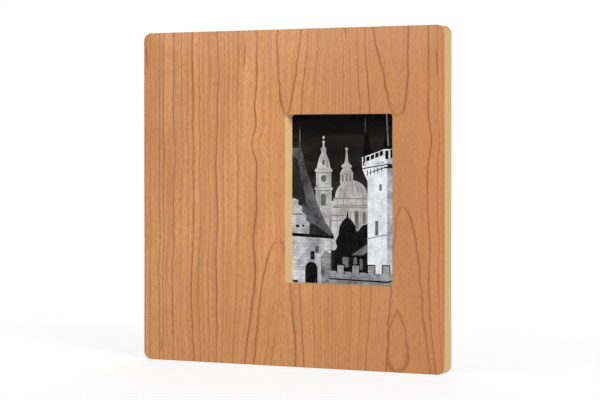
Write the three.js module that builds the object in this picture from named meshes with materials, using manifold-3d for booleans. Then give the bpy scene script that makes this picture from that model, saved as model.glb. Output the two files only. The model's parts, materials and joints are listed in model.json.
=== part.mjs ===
// A square digital photo frame: a cherry-veneered plywood panel with an off-centre portrait window,
// a liquid-crystal display behind the window, and a moulded rear cover that holds the electronics.
// Units are millimetres. X runs along the panel's width, Y from front to back and Z up.
// The origin is the middle of the panel's bottom edge, so the frame stands on Z = 0 and faces -Y.
import * as THREE from "three";
import { mergeVertices } from "three/addons/utils/BufferGeometryUtils.js";
import Module from "manifold-3d";

const wasm = await Module();
wasm.setup();

// ---------------------------------------------------------------- driving dimensions
const GAP = 0.3; // clearance round a piece that is cut, drops in or moves
const GLUE = 0.1; // bond line between flat sheets
const PAST = 1; // how far a cutter runs past the face that it opens

const PANEL = { side: 304.8, front: -8, back: 8, corner: 7.5, veneer: 0.6, ease: 0.2 };
const WINDOW = { x: 49.4, z: 151.7, width: 106.4, height: 152.4, corner: 3 };
const REBATE = { margin: 6, depth: 1.4 };
const GLASS = { thick: 1.1, lift: 0.2 };
const DISPLAY = { width: 141, height: 183, front: 8.6, corner: 1, cell: 1.6, rim: 2, rimDepth: 4.2 };
const BACKLIGHT = { sheets: 0.5, guide: 3, ledRoom: 2.2 };
const TRAY = { grow: 1.4, hollow: 0.4, start: 0.4, thick: 0.5 };
const COVER = { left: -113, right: 133, bottom: 48, top: 256, front: 8.3, back: 30, wall: 2.2, corner: 9 };
const BOARD = { left: -106, right: -32, bottom: 104, top: 232, front: 14, thick: 1.6, corner: 2, inset: 4 };
const SIDE_PORT = { card: 208, usb: 178, slider: 150, inlet: 122 }; // heights up the cover's side
const SPEAKER = { x: [-78, 98], z: 78, radius: 14, depth: 7 };
const BUTTON = { x: 119, z: [158, 142, 126, 110], radius: 4, stem: 1.5, flange: 1, travel: 0.8, proud: 1 };
const HANGER = { x: [-80, 80], z: 228, width: 24, height: 30, thick: 0.9, corner: 3 };
const HANGER_WELL = { width: 14, height: 22 };
const KEYHOLE = { head: 4.6, slot: 2.3, below: 5, rise: 9 };
const BUMPER = { x: [-106, 126], z: 72, radius: 6, proud: 1.5, sunk: 0.6 };
const HINGE = { x: -8, y: 27, barrel: 2.9, pin: 1.25, bore: 1.5, low: 58, knuckle: 12, high: 138 };
const LEG = { thick: 5, reach: 80, height: 148, foot: 4, tip: 24, root: 4.2, top: 34, play: 0.4 };
const RECESS = { left: -17, right: 75, top: 152, depth: 6.5 };
const SCREW = { shank: 1.5, hole: 1.8, head: 2.9, headDepth: 2.1, boss: 4.6, inset: 7, seat: 10.3 };

const BOARD_BACK = BOARD.front + BOARD.thick;
const ON_BOARD = BOARD_BACK + 0.2; // a soldered part's body stands just off the board
const COVER_INNER = COVER.back - COVER.wall;
const SIDE_INNER = COVER.left + COVER.wall;
const PORT_FACE = SIDE_INNER + GAP; // the sockets' mouths stand just inside the cover's side wall

// ---------------------------------------------------------------- geometry helpers
function toSolid(geometry) {
  const bare = geometry.clone();
  bare.deleteAttribute("normal");
  bare.deleteAttribute("uv");
  const merged = mergeVertices(bare, 1e-4);
  const vertProperties = merged.attributes.position.array;
  const triVerts = new Uint32Array(merged.index.array);
  return new wasm.Manifold(new wasm.Mesh({ numProp: 3, vertProperties, triVerts }));
}

function toGeometry(solid) {
  const { vertProperties, triVerts } = solid.getMesh();
  const geometry = new THREE.BufferGeometry();
  geometry.setAttribute("position", new THREE.BufferAttribute(vertProperties, 3));
  geometry.setIndex(new THREE.BufferAttribute(triVerts, 1));
  return geometry;
}

const join = (first, ...rest) => toGeometry(rest.reduce((sum, g) => sum.add(toSolid(g)), toSolid(first)));
const cut = (first, ...rest) => toGeometry(rest.reduce((sum, g) => sum.subtract(toSolid(g)), toSolid(first)));

// A box between two corners.
function box([x0, y0, z0], [x1, y1, z1]) {
  const geometry = new THREE.BoxGeometry(x1 - x0, y1 - y0, z1 - z0);
  return geometry.translate((x0 + x1) / 2, (y0 + y1) / 2, (z0 + z1) / 2);
}

// A cylinder that runs front to back, from y0 to y1.
function rod(x, z, radius, y0, y1, sides) {
  return new THREE.CylinderGeometry(radius, radius, y1 - y0, sides).translate(x, (y0 + y1) / 2, z);
}

// A cylinder that stands upright, from z0 to z1.
function post(x, y, radius, z0, z1, sides = 16) {
  const geometry = new THREE.CylinderGeometry(radius, radius, z1 - z0, sides).rotateX(Math.PI / 2);
  return geometry.translate(x, y, (z0 + z1) / 2);
}

// A cylinder that runs from side to side, from x0 to x1.
function axle(y, z, radius, x0, x1, sides = 20) {
  const geometry = new THREE.CylinderGeometry(radius, radius, x1 - x0, sides).rotateZ(Math.PI / 2);
  return geometry.translate((x0 + x1) / 2, y, z);
}

// The outline of a rectangle with round corners, in X and Z.
function outline(x, z, width, height, radius) {
  const shape = new THREE.Shape();
  const [left, right] = [x - width / 2 + radius, x + width / 2 - radius];
  const [low, high] = [z - height / 2 + radius, z + height / 2 - radius];
  shape.absarc(right, low, radius, -Math.PI / 2, 0);
  shape.absarc(right, high, radius, 0, Math.PI / 2);
  shape.absarc(left, high, radius, Math.PI / 2, Math.PI);
  shape.absarc(left, low, radius, Math.PI, Math.PI * 1.5);
  return shape;
}

// A closed outline through points with each corner rounded by a curve.
function roundedPolygon(points, radius) {
  const shape = new THREE.Shape();
  points.forEach((corner, i) => {
    const before = points[(i + points.length - 1) % points.length];
    const after = points[(i + 1) % points.length];
    const enter = corner.clone().lerp(before, radius / corner.distanceTo(before));
    const leave = corner.clone().lerp(after, radius / corner.distanceTo(after));
    if (i === 0) shape.moveTo(enter.x, enter.y);
    else shape.lineTo(enter.x, enter.y);
    shape.quadraticCurveTo(corner.x, corner.y, leave.x, leave.y);
  });
  return shape;
}

// A flat plate: an outline in X and Z that fills from y0 to y1.
function plate(shape, y0, y1, curveSegments = 6) {
  const geometry = new THREE.ExtrudeGeometry(shape, { depth: y1 - y0, bevelEnabled: false, curveSegments });
  return geometry.rotateX(Math.PI / 2).translate(0, y1, 0);
}

// A strip with a constant section in Y and Z that runs along X from x0 to x1.
function strip(points, x0, x1) {
  const shape = new THREE.Shape(points.map(([y, z]) => new THREE.Vector2(y, z)));
  const geometry = new THREE.ExtrudeGeometry(shape, { depth: x1 - x0, bevelEnabled: false });
  geometry.applyMatrix4(new THREE.Matrix4().set(0, 0, 1, x0, 1, 0, 0, 0, 0, 1, 0, 0, 0, 0, 0, 1));
  return geometry;
}

const group = new THREE.Group();

function add(name, geometry, color, roughness, metalness = 0) {
  const material = new THREE.MeshStandardMaterial({ color, roughness, metalness });
  const mesh = new THREE.Mesh(geometry, material);
  mesh.name = name;
  group.add(mesh);
}

// ---------------------------------------------------------------- colours
const CHERRY = 0xcd9467;
const PLYWOOD = 0xddba82;
const BLACK = 0x17181a;
const PLASTIC = 0x232427;
const RUBBER = 0x1c1c1d;
const STEEL = 0xb9bcbf;
const TINNED = 0xc9ccd0;
const BOARD_GREEN = 0x1f5b38;
const CHIP = 0x1b1c1e;
const WHITE = 0xf1f2f0;
const CLEAR = 0xdfe8ec;
const CARD_BLUE = 0x2a3a5c;

// ---------------------------------------------------------------- the plywood panel
const coverScrewsAt = [COVER.left + SCREW.inset, COVER.right - SCREW.inset].flatMap((x) =>
  [COVER.bottom + SCREW.inset, COVER.top - SCREW.inset].map((z) => [x, z]),
);
const BRACKET = { half: 55, screw: 45, thick: 1, foot: 8, screwOut: 5.2, hook: 8 };
const trayHalf = (DISPLAY.height + TRAY.grow) / 2;
const bracketScrewsAt = [-BRACKET.screw, BRACKET.screw].flatMap((dx) =>
  [-1, 1].map((side) => [WINDOW.x + dx, WINDOW.z + side * (trayHalf + BRACKET.screwOut)]),
);
const SCREW_POINT = -3; // how far forward the wood screws reach

// A sheet of the panel; the veneers are eased back from the core's edge.
function panelSheet(y0, y1, opening, ease = 0) {
  const side = PANEL.side - 2 * ease;
  const shape = outline(0, PANEL.side / 2, side, side, PANEL.corner - ease);
  shape.holes.push(opening);
  return plate(shape, y0, y1, 5);
}

const pilotHoles = [...coverScrewsAt, ...bracketScrewsAt].map(([x, z]) =>
  rod(x, z, SCREW.hole, SCREW_POINT - GAP, PANEL.back + PAST, 8),
);
const windowOutline = outline(WINDOW.x, WINDOW.z, WINDOW.width, WINDOW.height, WINDOW.corner);
const rebateWidth = WINDOW.width + 2 * REBATE.margin;
const rebateHeight = WINDOW.height + 2 * REBATE.margin;
const rebateOutline = outline(WINDOW.x, WINDOW.z, rebateWidth, rebateHeight, WINDOW.corner);
const coreFront = PANEL.front + PANEL.veneer + GLUE;
const coreBack = PANEL.back - PANEL.veneer - GLUE;
const rebateFloor = PANEL.back - REBATE.depth;

add(
  "front_veneer",
  panelSheet(PANEL.front, PANEL.front + PANEL.veneer, windowOutline, PANEL.ease),
  CHERRY,
  0.5,
);
add(
  "plywood_core",
  cut(
    panelSheet(coreFront, coreBack, windowOutline),
    plate(rebateOutline, rebateFloor, PANEL.back + PAST, 3),
    ...pilotHoles,
  ),
  PLYWOOD,
  0.6,
);
add(
  "back_veneer",
  cut(
    panelSheet(PANEL.back - PANEL.veneer, PANEL.back, rebateOutline, PANEL.ease),
    ...pilotHoles,
  ),
  CHERRY,
  0.55,
);

// ---------------------------------------------------------------- glass and display module
// A sheet centred on the window.
const windowSheet = (width, height, y0, y1, corner = DISPLAY.corner) =>
  plate(outline(WINDOW.x, WINDOW.z, width, height, corner), y0, y1, 3);

const glassFront = rebateFloor + GLASS.lift;
const glassBack = glassFront + GLASS.thick;
add(
  "display_glass",
  windowSheet(rebateWidth - 2 * GAP, rebateHeight - 2 * GAP, glassFront, glassBack, WINDOW.corner),
  CLEAR,
  0.05,
);

function gasket() {
  const shape = outline(WINDOW.x, WINDOW.z, DISPLAY.width, DISPLAY.height, DISPLAY.corner);
  const sight = 5.6; // how much wider than the window the foam ring's opening is
  shape.holes.push(outline(WINDOW.x, WINDOW.z, WINDOW.width + sight, WINDOW.height + sight, WINDOW.corner));
  return plate(shape, PANEL.back + GLUE, DISPLAY.front - GLUE, 3);
}
add("glass_gasket", gasket(), BLACK, 0.9);

const cellBack = DISPLAY.front + DISPLAY.cell;
const frameBack = cellBack + DISPLAY.rimDepth;
const insideWidth = DISPLAY.width - 2 * DISPLAY.rim;
const insideHeight = DISPLAY.height - 2 * DISPLAY.rim;
add("lcd_cell", windowSheet(DISPLAY.width, DISPLAY.height, DISPLAY.front, cellBack), BLACK, 0.25);

function midFrame() {
  const shape = outline(WINDOW.x, WINDOW.z, DISPLAY.width, DISPLAY.height, DISPLAY.corner);
  shape.holes.push(outline(WINDOW.x, WINDOW.z, insideWidth, insideHeight, DISPLAY.corner));
  return plate(shape, cellBack + GLUE, frameBack, 3);
}
add("lcd_mid_frame", midFrame(), WHITE, 0.5);

// The light guide is shorter at the bottom, where the light strip lies.
const sheetBack = cellBack + GLUE + BACKLIGHT.sheets;
const guideFront = sheetBack + GLUE;
const guideBack = guideFront + BACKLIGHT.guide;
const insideBottom = WINDOW.z - insideHeight / 2;
const insideLeft = WINDOW.x - insideWidth / 2;
const insideRight = WINDOW.x + insideWidth / 2;
add(
  "optical_sheets",
  windowSheet(insideWidth - 2 * GAP, insideHeight - 2 * GAP, cellBack + GLUE, sheetBack),
  WHITE,
  0.4,
);
add(
  "light_guide",
  box(
    [insideLeft + GAP, guideFront, insideBottom + BACKLIGHT.ledRoom],
    [insideRight - GAP, guideBack, WINDOW.z + insideHeight / 2 - GAP],
  ),
  CLEAR,
  0.1,
);

const LEDS = { count: 12, inset: 4, end: 10, height: 1.1, half: 1.3 };
const LAMP = { half: 1.6, depth: 1, sunk: 0.2, proud: 0.7 };
function ledStrip() {
  const stripTop = insideBottom + LEDS.height;
  const middle = (guideFront + guideBack) / 2;
  const base = box(
    [insideLeft + LEDS.inset, middle - LEDS.half, insideBottom + GAP],
    [insideRight - LEDS.inset, middle + LEDS.half, stripTop],
  );
  const pitch = (insideWidth - 2 * LEDS.end) / (LEDS.count - 1);
  const lamps = Array.from({ length: LEDS.count }, (_, i) => {
    const x = insideLeft + LEDS.end + i * pitch;
    return box(
      [x - LAMP.half, middle - LAMP.depth, stripTop - LAMP.sunk],
      [x + LAMP.half, middle + LAMP.depth, stripTop + LAMP.proud],
    );
  });
  return join(base, ...lamps);
}
add("led_strip", ledStrip(), WHITE, 0.4);

const trayBack = frameBack + GLUE + TRAY.thick;
function backplate() {
  const outer = windowSheet(
    DISPLAY.width + TRAY.grow,
    DISPLAY.height + TRAY.grow,
    DISPLAY.front + TRAY.start,
    trayBack,
  );
  const pocket = windowSheet(
    DISPLAY.width + TRAY.hollow,
    DISPLAY.height + TRAY.hollow,
    DISPLAY.front - PAST,
    frameBack + GLUE,
  );
  return cut(outer, pocket);
}
add("lcd_backplate", backplate(), STEEL, 0.4, 0.9);

const DRIVER = { left: 22, right: 40, bottom: 130, top: 196, thick: 1 };
const driverFront = trayBack + GLUE;
add(
  "lcd_driver_board",
  box(
    [DRIVER.left, driverFront, DRIVER.bottom],
    [DRIVER.right, driverFront + DRIVER.thick, DRIVER.top],
  ),
  BOARD_GREEN,
  0.5,
);

// A folded steel strip: its foot is screwed to the panel and its hook holds the module down.
function displayBracket(side) {
  const edge = WINDOW.z + side * (trayHalf + GAP);
  const foot = PANEL.back + GLUE;
  const hook = trayBack + GLUE;
  const t = BRACKET.thick;
  const section = [
    [foot, edge],
    [foot, edge + side * BRACKET.foot],
    [foot + t, edge + side * BRACKET.foot],
    [foot + t, edge + side * t],
    [hook + t, edge + side * t],
    [hook + t, edge - side * BRACKET.hook],
    [hook, edge - side * BRACKET.hook],
    [hook, edge],
  ];
  if (side < 0) section.reverse();
  const holes = bracketScrewsAt
    .filter(([, z]) => Math.sign(z - WINDOW.z) === side)
    .map(([x, z]) => rod(x, z, SCREW.hole, foot - PAST, foot + t + PAST, 10));
  return cut(strip(section, WINDOW.x - BRACKET.half, WINDOW.x + BRACKET.half), ...holes);
}
add("lcd_bracket_upper", displayBracket(1), STEEL, 0.35, 0.9);
add("lcd_bracket_lower", displayBracket(-1), STEEL, 0.35, 0.9);

// ---------------------------------------------------------------- screws
const LARGE_SCREW = { shank: SCREW.shank, head: SCREW.head, depth: SCREW.headDepth };
const BOARD_SCREW = { shank: 1.1, head: 2.2, depth: 1.6, reach: 5 };
const SHAPE = { point: 1.5, crown: 0.8, cross: 0.55, crossDepth: 0.45, bar: 0.35 };

// A pan-head screw whose head's underside is at `seat`; it points forward when `way` is -1.
function screw(x, z, seat, tip, { shank, head, depth } = LARGE_SCREW) {
  const way = Math.sign(tip - seat);
  const profile = [
    [0, tip],
    [shank, tip - way * shank * SHAPE.point],
    [shank, seat],
    [head, seat],
    [head * SHAPE.crown, seat - way * depth],
    [0, seat - way * depth],
  ];
  if (way > 0) profile.reverse();
  const points = profile.map(([r, y]) => new THREE.Vector2(r, y));
  const cross = head * SHAPE.cross;
  const { bar } = SHAPE;
  const slotFloor = seat - way * depth * SHAPE.crossDepth;
  const past = seat - way * (depth + PAST);
  const [y0, y1] = [Math.min(slotFloor, past), Math.max(slotFloor, past)];
  return cut(
    new THREE.LatheGeometry(points, 10).translate(x, 0, z),
    box([x - cross, y0, z - bar], [x + cross, y1, z + bar]),
    box([x - bar, y0, z - cross], [x + bar, y1, z + cross]),
  );
}
bracketScrewsAt.forEach(([x, z], i) => {
  const seat = PANEL.back + GLUE + BRACKET.thick + GAP;
  add(`bracket_screw_${i + 1}`, screw(x, z, seat, SCREW_POINT), STEEL, 0.35, 0.9);
});
coverScrewsAt.forEach(([x, z], i) => {
  const seat = COVER.back - SCREW.seat;
  add(`cover_screw_${i + 1}`, screw(x, z, seat, SCREW_POINT), BLACK, 0.4, 0.8);
});

// ---------------------------------------------------------------- main board and what it carries
const boardScrewsAt = [BOARD.left + BOARD.inset, BOARD.right - BOARD.inset].flatMap((x) =>
  [BOARD.bottom + BOARD.inset, BOARD.top - BOARD.inset].map((z) => [x, z]),
);
const boardCentre = { x: (BOARD.left + BOARD.right) / 2, z: (BOARD.bottom + BOARD.top) / 2 };

function mainBoard() {
  const shape = outline(
    boardCentre.x,
    boardCentre.z,
    BOARD.right - BOARD.left,
    BOARD.top - BOARD.bottom,
    BOARD.corner,
  );
  const hole = SCREW.shank;
  boardScrewsAt.forEach(([x, z]) => shape.holes.push(new THREE.Path().absarc(x, z, hole, 0, Math.PI * 2)));
  return plate(shape, BOARD.front, BOARD_BACK, 3);
}
add("main_board", mainBoard(), BOARD_GREEN, 0.5);
boardScrewsAt.forEach(([x, z], i) => {
  const tip = BOARD_BACK + BOARD_SCREW.reach;
  add(`board_screw_${i + 1}`, screw(x, z, BOARD.front - GAP, tip, BOARD_SCREW), STEEL, 0.35, 0.9);
});

const PROCESSOR = { x: -62, z: 166, width: 16, height: 16, depth: 1.5 };
const MEMORY = { x: -62, z: 188, width: 18, height: 10, depth: 1.2 };
const FLASH = { x: -64, z: 142, width: 12, height: 18, depth: 1.2 };
const CONNECTOR = { x: -36, z: 160, width: 5, height: 30, depth: 2.2 };

// A soldered package, lying flat on the back of the board.
const chip = ({ x, z, width, height, depth }) =>
  box([x - width / 2, ON_BOARD, z - height / 2], [x + width / 2, ON_BOARD + depth, z + height / 2]);
add("processor", chip(PROCESSOR), CHIP, 0.6);
add("memory_chip", chip(MEMORY), CHIP, 0.6);
add("flash_chip", chip(FLASH), CHIP, 0.6);
add("display_connector", chip(CONNECTOR), WHITE, 0.5);

// A flat cable that rises over the module's edge and drops to the driver board.
const RIBBON = { width: 26, half: 0.15, steps: 14 };
function displayRibbon() {
  const start = CONNECTOR.x + CONNECTOR.width / 2 + GAP;
  const end = DRIVER.left - GAP;
  const stations = [
    [start, ON_BOARD + 1],
    [start + 6, ON_BOARD + 1.6],
    [-14, ON_BOARD + 2.2],
    [4, ON_BOARD + 2],
    [14, trayBack + 1.2],
    [end, trayBack + 0.6],
  ];
  const route = new THREE.SplineCurve(stations.map(([x, y]) => new THREE.Vector2(x, y)));
  const middle = route.getPoints(RIBBON.steps);
  const edge = (offset) => middle.map((p) => new THREE.Vector2(p.x, p.y + offset));
  const shape = new THREE.Shape([...edge(-RIBBON.half), ...edge(RIBBON.half).reverse()]);
  const geometry = new THREE.ExtrudeGeometry(shape, { depth: RIBBON.width, bevelEnabled: false });
  return geometry.translate(0, 0, CONNECTOR.z - RIBBON.width / 2);
}
add("display_ribbon", displayRibbon(), WHITE, 0.5);

const CELL = { x: -52, z: 212, radius: 10, depth: 3.2 };
const HOLDER = { wall: 1.8, floor: 0.8, rim: 0.4, notchHalf: 4, notchFloor: 1.4 };
const cellFront = ON_BOARD + HOLDER.floor + GLUE;
const holderBack = ON_BOARD + HOLDER.floor + CELL.depth + HOLDER.rim;
add(
  "coin_cell_holder",
  cut(
    rod(CELL.x, CELL.z, CELL.radius + HOLDER.wall, ON_BOARD, holderBack, 20),
    rod(CELL.x, CELL.z, CELL.radius + GAP, ON_BOARD + HOLDER.floor, holderBack + PAST, 20),
    box(
      [CELL.x - HOLDER.notchHalf, ON_BOARD + HOLDER.notchFloor, CELL.z - 2 * CELL.radius],
      [CELL.x + HOLDER.notchHalf, holderBack + PAST, CELL.z],
    ),
  ),
  BLACK,
  0.6,
);
add(
  "coin_cell",
  rod(CELL.x, CELL.z, CELL.radius, cellFront, cellFront + CELL.depth, 20),
  STEEL,
  0.25,
  1,
);

// ---------------------------------------------------------------- sockets along the cover's side
const CARD = { length: 32, width: 24, thick: 2.1, proud: 2.5, y: ON_BOARD + 1.1 };
const CARD_SOCKET = { length: 29, side: 1.5, lid: 0.5, spare: 0.5 };
const cardEdge = COVER.left - CARD.proud;
const cardEnd = cardEdge + CARD.length;

function cardSocket() {
  const half = CARD.width / 2;
  const z = SIDE_PORT.card;
  const floor = CARD.y - GAP;
  const roof = CARD.y + CARD.thick + GAP;
  const shell = box(
    [PORT_FACE, ON_BOARD, z - half - CARD_SOCKET.side],
    [PORT_FACE + CARD_SOCKET.length, roof + CARD_SOCKET.lid, z + half + CARD_SOCKET.side],
  );
  const hollow = box(
    [PORT_FACE - PAST, floor, z - half - GAP],
    [cardEnd + CARD_SOCKET.spare, roof, z + half + GAP],
  );
  return cut(shell, hollow);
}
add("card_socket", cardSocket(), TINNED, 0.3, 0.9);

// The card's leading end has one corner cut off, and a groove near its edge gives a nail a hold.
const CARD_CORNER = 4;
const GROOVE = { near: 0.8, far: 1.8, half: 8, depth: 0.3 };
function memoryCard() {
  const half = CARD.width / 2;
  const z = SIDE_PORT.card;
  const back = CARD.y + CARD.thick;
  const corners = [
    [cardEdge, z - half],
    [cardEnd, z - half],
    [cardEnd, z + half - CARD_CORNER],
    [cardEnd - CARD_CORNER, z + half],
    [cardEdge, z + half],
  ];
  const shape = new THREE.Shape(corners.map(([x, up]) => new THREE.Vector2(x, up)));
  const groove = box(
    [cardEdge + GROOVE.near, back - GROOVE.depth, z - GROOVE.half],
    [cardEdge + GROOVE.far, back + PAST, z + GROOVE.half],
  );
  return cut(plate(shape, CARD.y, back), groove);
}
add("memory_card", memoryCard(), CARD_BLUE, 0.5);

const USB = { width: 13.1, height: 5.8, length: 14, wall: 0.4 };
const TONGUE = { thick: 1.8, side: 1.2, setBack: 0.8, above: 0.5 };
function usbSocket() {
  const z = SIDE_PORT.usb;
  const half = USB.width / 2;
  const top = ON_BOARD + USB.height;
  const far = PORT_FACE + USB.length;
  const shell = box([PORT_FACE, ON_BOARD, z - half], [far, top, z + half]);
  const hollow = box(
    [PORT_FACE - PAST, ON_BOARD + USB.wall, z - half + USB.wall],
    [far - 2, top - USB.wall, z + half - USB.wall],
  );
  const tongueBack = top - USB.wall - TONGUE.above;
  const tongue = box(
    [PORT_FACE + TONGUE.setBack, tongueBack - TONGUE.thick, z - half + TONGUE.side],
    [far - 1, tongueBack, z + half - TONGUE.side],
  );
  return join(cut(shell, hollow), tongue);
}
add("usb_socket", usbSocket(), TINNED, 0.3, 0.9);

const JACK = { size: 9.6, length: 13, bore: 3, pin: 1, depth: 9.5 };
const jackY = ON_BOARD + JACK.size / 2;
function powerInlet() {
  const z = SIDE_PORT.inlet;
  const body = box(
    [PORT_FACE, ON_BOARD, z - JACK.size / 2],
    [PORT_FACE + JACK.length, ON_BOARD + JACK.size, z + JACK.size / 2],
  );
  const bore = axle(jackY, z, JACK.bore, PORT_FACE - PAST, PORT_FACE + JACK.depth);
  const pin = axle(jackY, z, JACK.pin, PORT_FACE + 1, PORT_FACE + JACK.depth + 1, 12);
  return join(cut(body, bore), pin);
}
add("power_inlet", powerInlet(), BLACK, 0.4);

// The thumb pad outside the cover, its neck through the wall, and the flange that holds it in.
const SLIDER = {
  travel: 4,
  thumb: { thick: 1.7, width: 5, height: 8 },
  neck: { width: 2.4, height: 4 },
  flange: { thick: 1, width: 5.4, height: 9 },
  ridge: { width: 3.8, height: 0.8, proud: 0.5, pitch: 2 },
};
const sliderY = ON_BOARD + 3;
const sliderRest = SIDE_PORT.slider - SLIDER.travel / 2;
const flangeFace = SIDE_INNER + GAP;
const flangeBack = flangeFace + SLIDER.flange.thick;

function powerSlider() {
  const across = ({ width, height }, x0, x1, rise = 0) =>
    box(
      [x0, sliderY - width / 2, sliderRest + rise - height / 2],
      [x1, sliderY + width / 2, sliderRest + rise + height / 2],
    );
  const thumbBack = COVER.left - GAP;
  const thumbFace = thumbBack - SLIDER.thumb.thick;
  const thumb = across(SLIDER.thumb, thumbFace, thumbBack);
  const neck = across(SLIDER.neck, COVER.left - 1, flangeBack - 0.5);
  const flange = across(SLIDER.flange, flangeFace, flangeBack);
  const { ridge } = SLIDER;
  const ridges = [-ridge.pitch, 0, ridge.pitch].map((rise) =>
    across(ridge, thumbFace - ridge.proud, thumbFace + ridge.proud, rise),
  );
  return join(thumb, neck, flange, ...ridges);
}
add("power_slider", powerSlider(), BLACK, 0.5);

const SWITCH = { half: 6, depth: 5 };
const switchFace = flangeBack + GAP;
add(
  "slide_switch",
  box(
    [switchFace, ON_BOARD, SIDE_PORT.slider - SWITCH.half],
    [switchFace + SWITCH.depth, ON_BOARD + SWITCH.depth, SIDE_PORT.slider + SWITCH.half],
  ),
  TINNED,
  0.35,
  0.8,
);

// ---------------------------------------------------------------- speakers
// An open basket with a shallow cone, facing the grille in the cover's back.
function speaker(x) {
  const face = COVER_INNER - GAP;
  const back = face - SPEAKER.depth;
  const r = SPEAKER.radius;
  const profile = [
    [0, back],
    [r * 0.55, back],
    [r * 0.6, back + 3.5],
    [r, back + 4.5],
    [r, face],
    [r - 1.2, face],
    [r - 3, face - 0.8],
    [r * 0.36, face - 3],
    [0, face - 1.9],
  ];
  const points = profile.map(([radius, y]) => new THREE.Vector2(radius, y));
  return new THREE.LatheGeometry(points, 18).translate(x, 0, SPEAKER.z);
}
add("speaker_left", speaker(SPEAKER.x[0]), BLACK, 0.7);
add("speaker_right", speaker(SPEAKER.x[1]), BLACK, 0.7);

// ---------------------------------------------------------------- buttons and their board
const KEYS = { front: 20, thick: 1.2, half: 7, over: 10, body: 3, plunger: 0.4, plungerRadius: 1.7 };
const keysBack = KEYS.front + KEYS.thick;
const keyTop = keysBack + GLUE + KEYS.body + KEYS.plunger;
const keysTop = BUTTON.z[0] + KEYS.over;
const keysBottom = BUTTON.z[BUTTON.z.length - 1] - KEYS.over;
add(
  "button_board",
  box([BUTTON.x - KEYS.half, KEYS.front, keysBottom], [BUTTON.x + KEYS.half, keysBack, keysTop]),
  BOARD_GREEN,
  0.5,
);

const BUTTON_NAMES = ["menu_button", "next_button", "back_button", "enter_button"];
BUTTON.z.forEach((z, i) => {
  const body = box(
    [BUTTON.x - KEYS.body, keysBack + GLUE, z - KEYS.body],
    [BUTTON.x + KEYS.body, keysBack + GLUE + KEYS.body, z + KEYS.body],
  );
  const plunger = rod(BUTTON.x, z, KEYS.plungerRadius, keysBack + 1, keyTop, 10);
  add(`tact_switch_${i + 1}`, join(body, plunger), TINNED, 0.4, 0.6);
});

// A cap with a retaining flange behind the cover and a stem that reaches for the switch.
function buttonCap(z) {
  const stemTip = keyTop + BUTTON.travel + GLUE;
  const flangeBack = COVER_INNER - GAP;
  const face = COVER.back + BUTTON.proud;
  const profile = [
    [0, stemTip],
    [BUTTON.stem, stemTip],
    [BUTTON.stem, flangeBack - BUTTON.flange],
    [BUTTON.radius + BUTTON.flange, flangeBack - BUTTON.flange],
    [BUTTON.radius + BUTTON.flange, flangeBack],
    [BUTTON.radius, flangeBack],
    [BUTTON.radius, face - 0.5],
    [BUTTON.radius - 0.5, face],
    [0, face - 0.3],
  ];
  const points = profile.map(([r, y]) => new THREE.Vector2(r, y));
  return new THREE.LatheGeometry(points, 16).translate(BUTTON.x, 0, z);
}
BUTTON.z.forEach((z, i) => add(BUTTON_NAMES[i], buttonCap(z), BLACK, 0.5));

// ---------------------------------------------------------------- rear cover
const recessFloor = COVER.back - RECESS.depth;

// The cover's outline drawn in from the edge by the same amount all round.
function coverOutline(inset) {
  return outline(
    (COVER.left + COVER.right) / 2,
    (COVER.bottom + COVER.top) / 2,
    COVER.right - COVER.left - 2 * inset,
    COVER.top - COVER.bottom - 2 * inset,
    COVER.corner - inset,
  );
}

function coverShell() {
  const bevel = 1.5;
  const block = new THREE.ExtrudeGeometry(coverOutline(bevel), {
    depth: COVER.back - COVER.front - bevel,
    curveSegments: 5,
    bevelEnabled: true,
    bevelSegments: 1,
    bevelSize: bevel,
    bevelThickness: bevel,
  });
  block.rotateX(Math.PI / 2).translate(0, COVER.back - bevel, 0);
  // The bevel rounds both faces, so the front one is trimmed back to a flat rim.
  const margin = 5;
  const rim = box(
    [COVER.left - margin, COVER.front - margin, COVER.bottom - margin],
    [COVER.right + margin, COVER.front, COVER.top + margin],
  );
  const fill = plate(coverOutline(0), COVER.front, COVER.front + 2 * bevel + 1, 5);
  const inside = plate(coverOutline(COVER.wall), COVER.front - margin, COVER_INNER, 3);
  return cut(join(cut(block, rim), fill), inside);
}

// The pocket that the leg folds into, open at the bottom of the cover.
const recessBlock = box(
  [RECESS.left - COVER.wall, recessFloor - COVER.wall, COVER.bottom],
  [RECESS.right + COVER.wall, COVER_INNER + 1, RECESS.top + COVER.wall],
);
const recessHollow = box(
  [RECESS.left, recessFloor, COVER.bottom - 5],
  [RECESS.right, COVER.back + 5, RECESS.top],
);

// Two hinge knuckles, each a barrel on a block that grows from the pocket's side.
const knuckleSpans = [
  [HINGE.low, HINGE.low + HINGE.knuckle],
  [HINGE.high - HINGE.knuckle, HINGE.high],
];
const knuckles = knuckleSpans.flatMap(([z0, z1]) => [
  box(
    [RECESS.left - 1, HINGE.y - HINGE.barrel, z0],
    [HINGE.x, HINGE.y + HINGE.barrel, z1],
  ),
  post(HINGE.x, HINGE.y, HINGE.barrel, z0, z1),
]);
const hingeBore = post(HINGE.x, HINGE.y, HINGE.bore, HINGE.low - 2, HINGE.high + 2);

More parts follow.
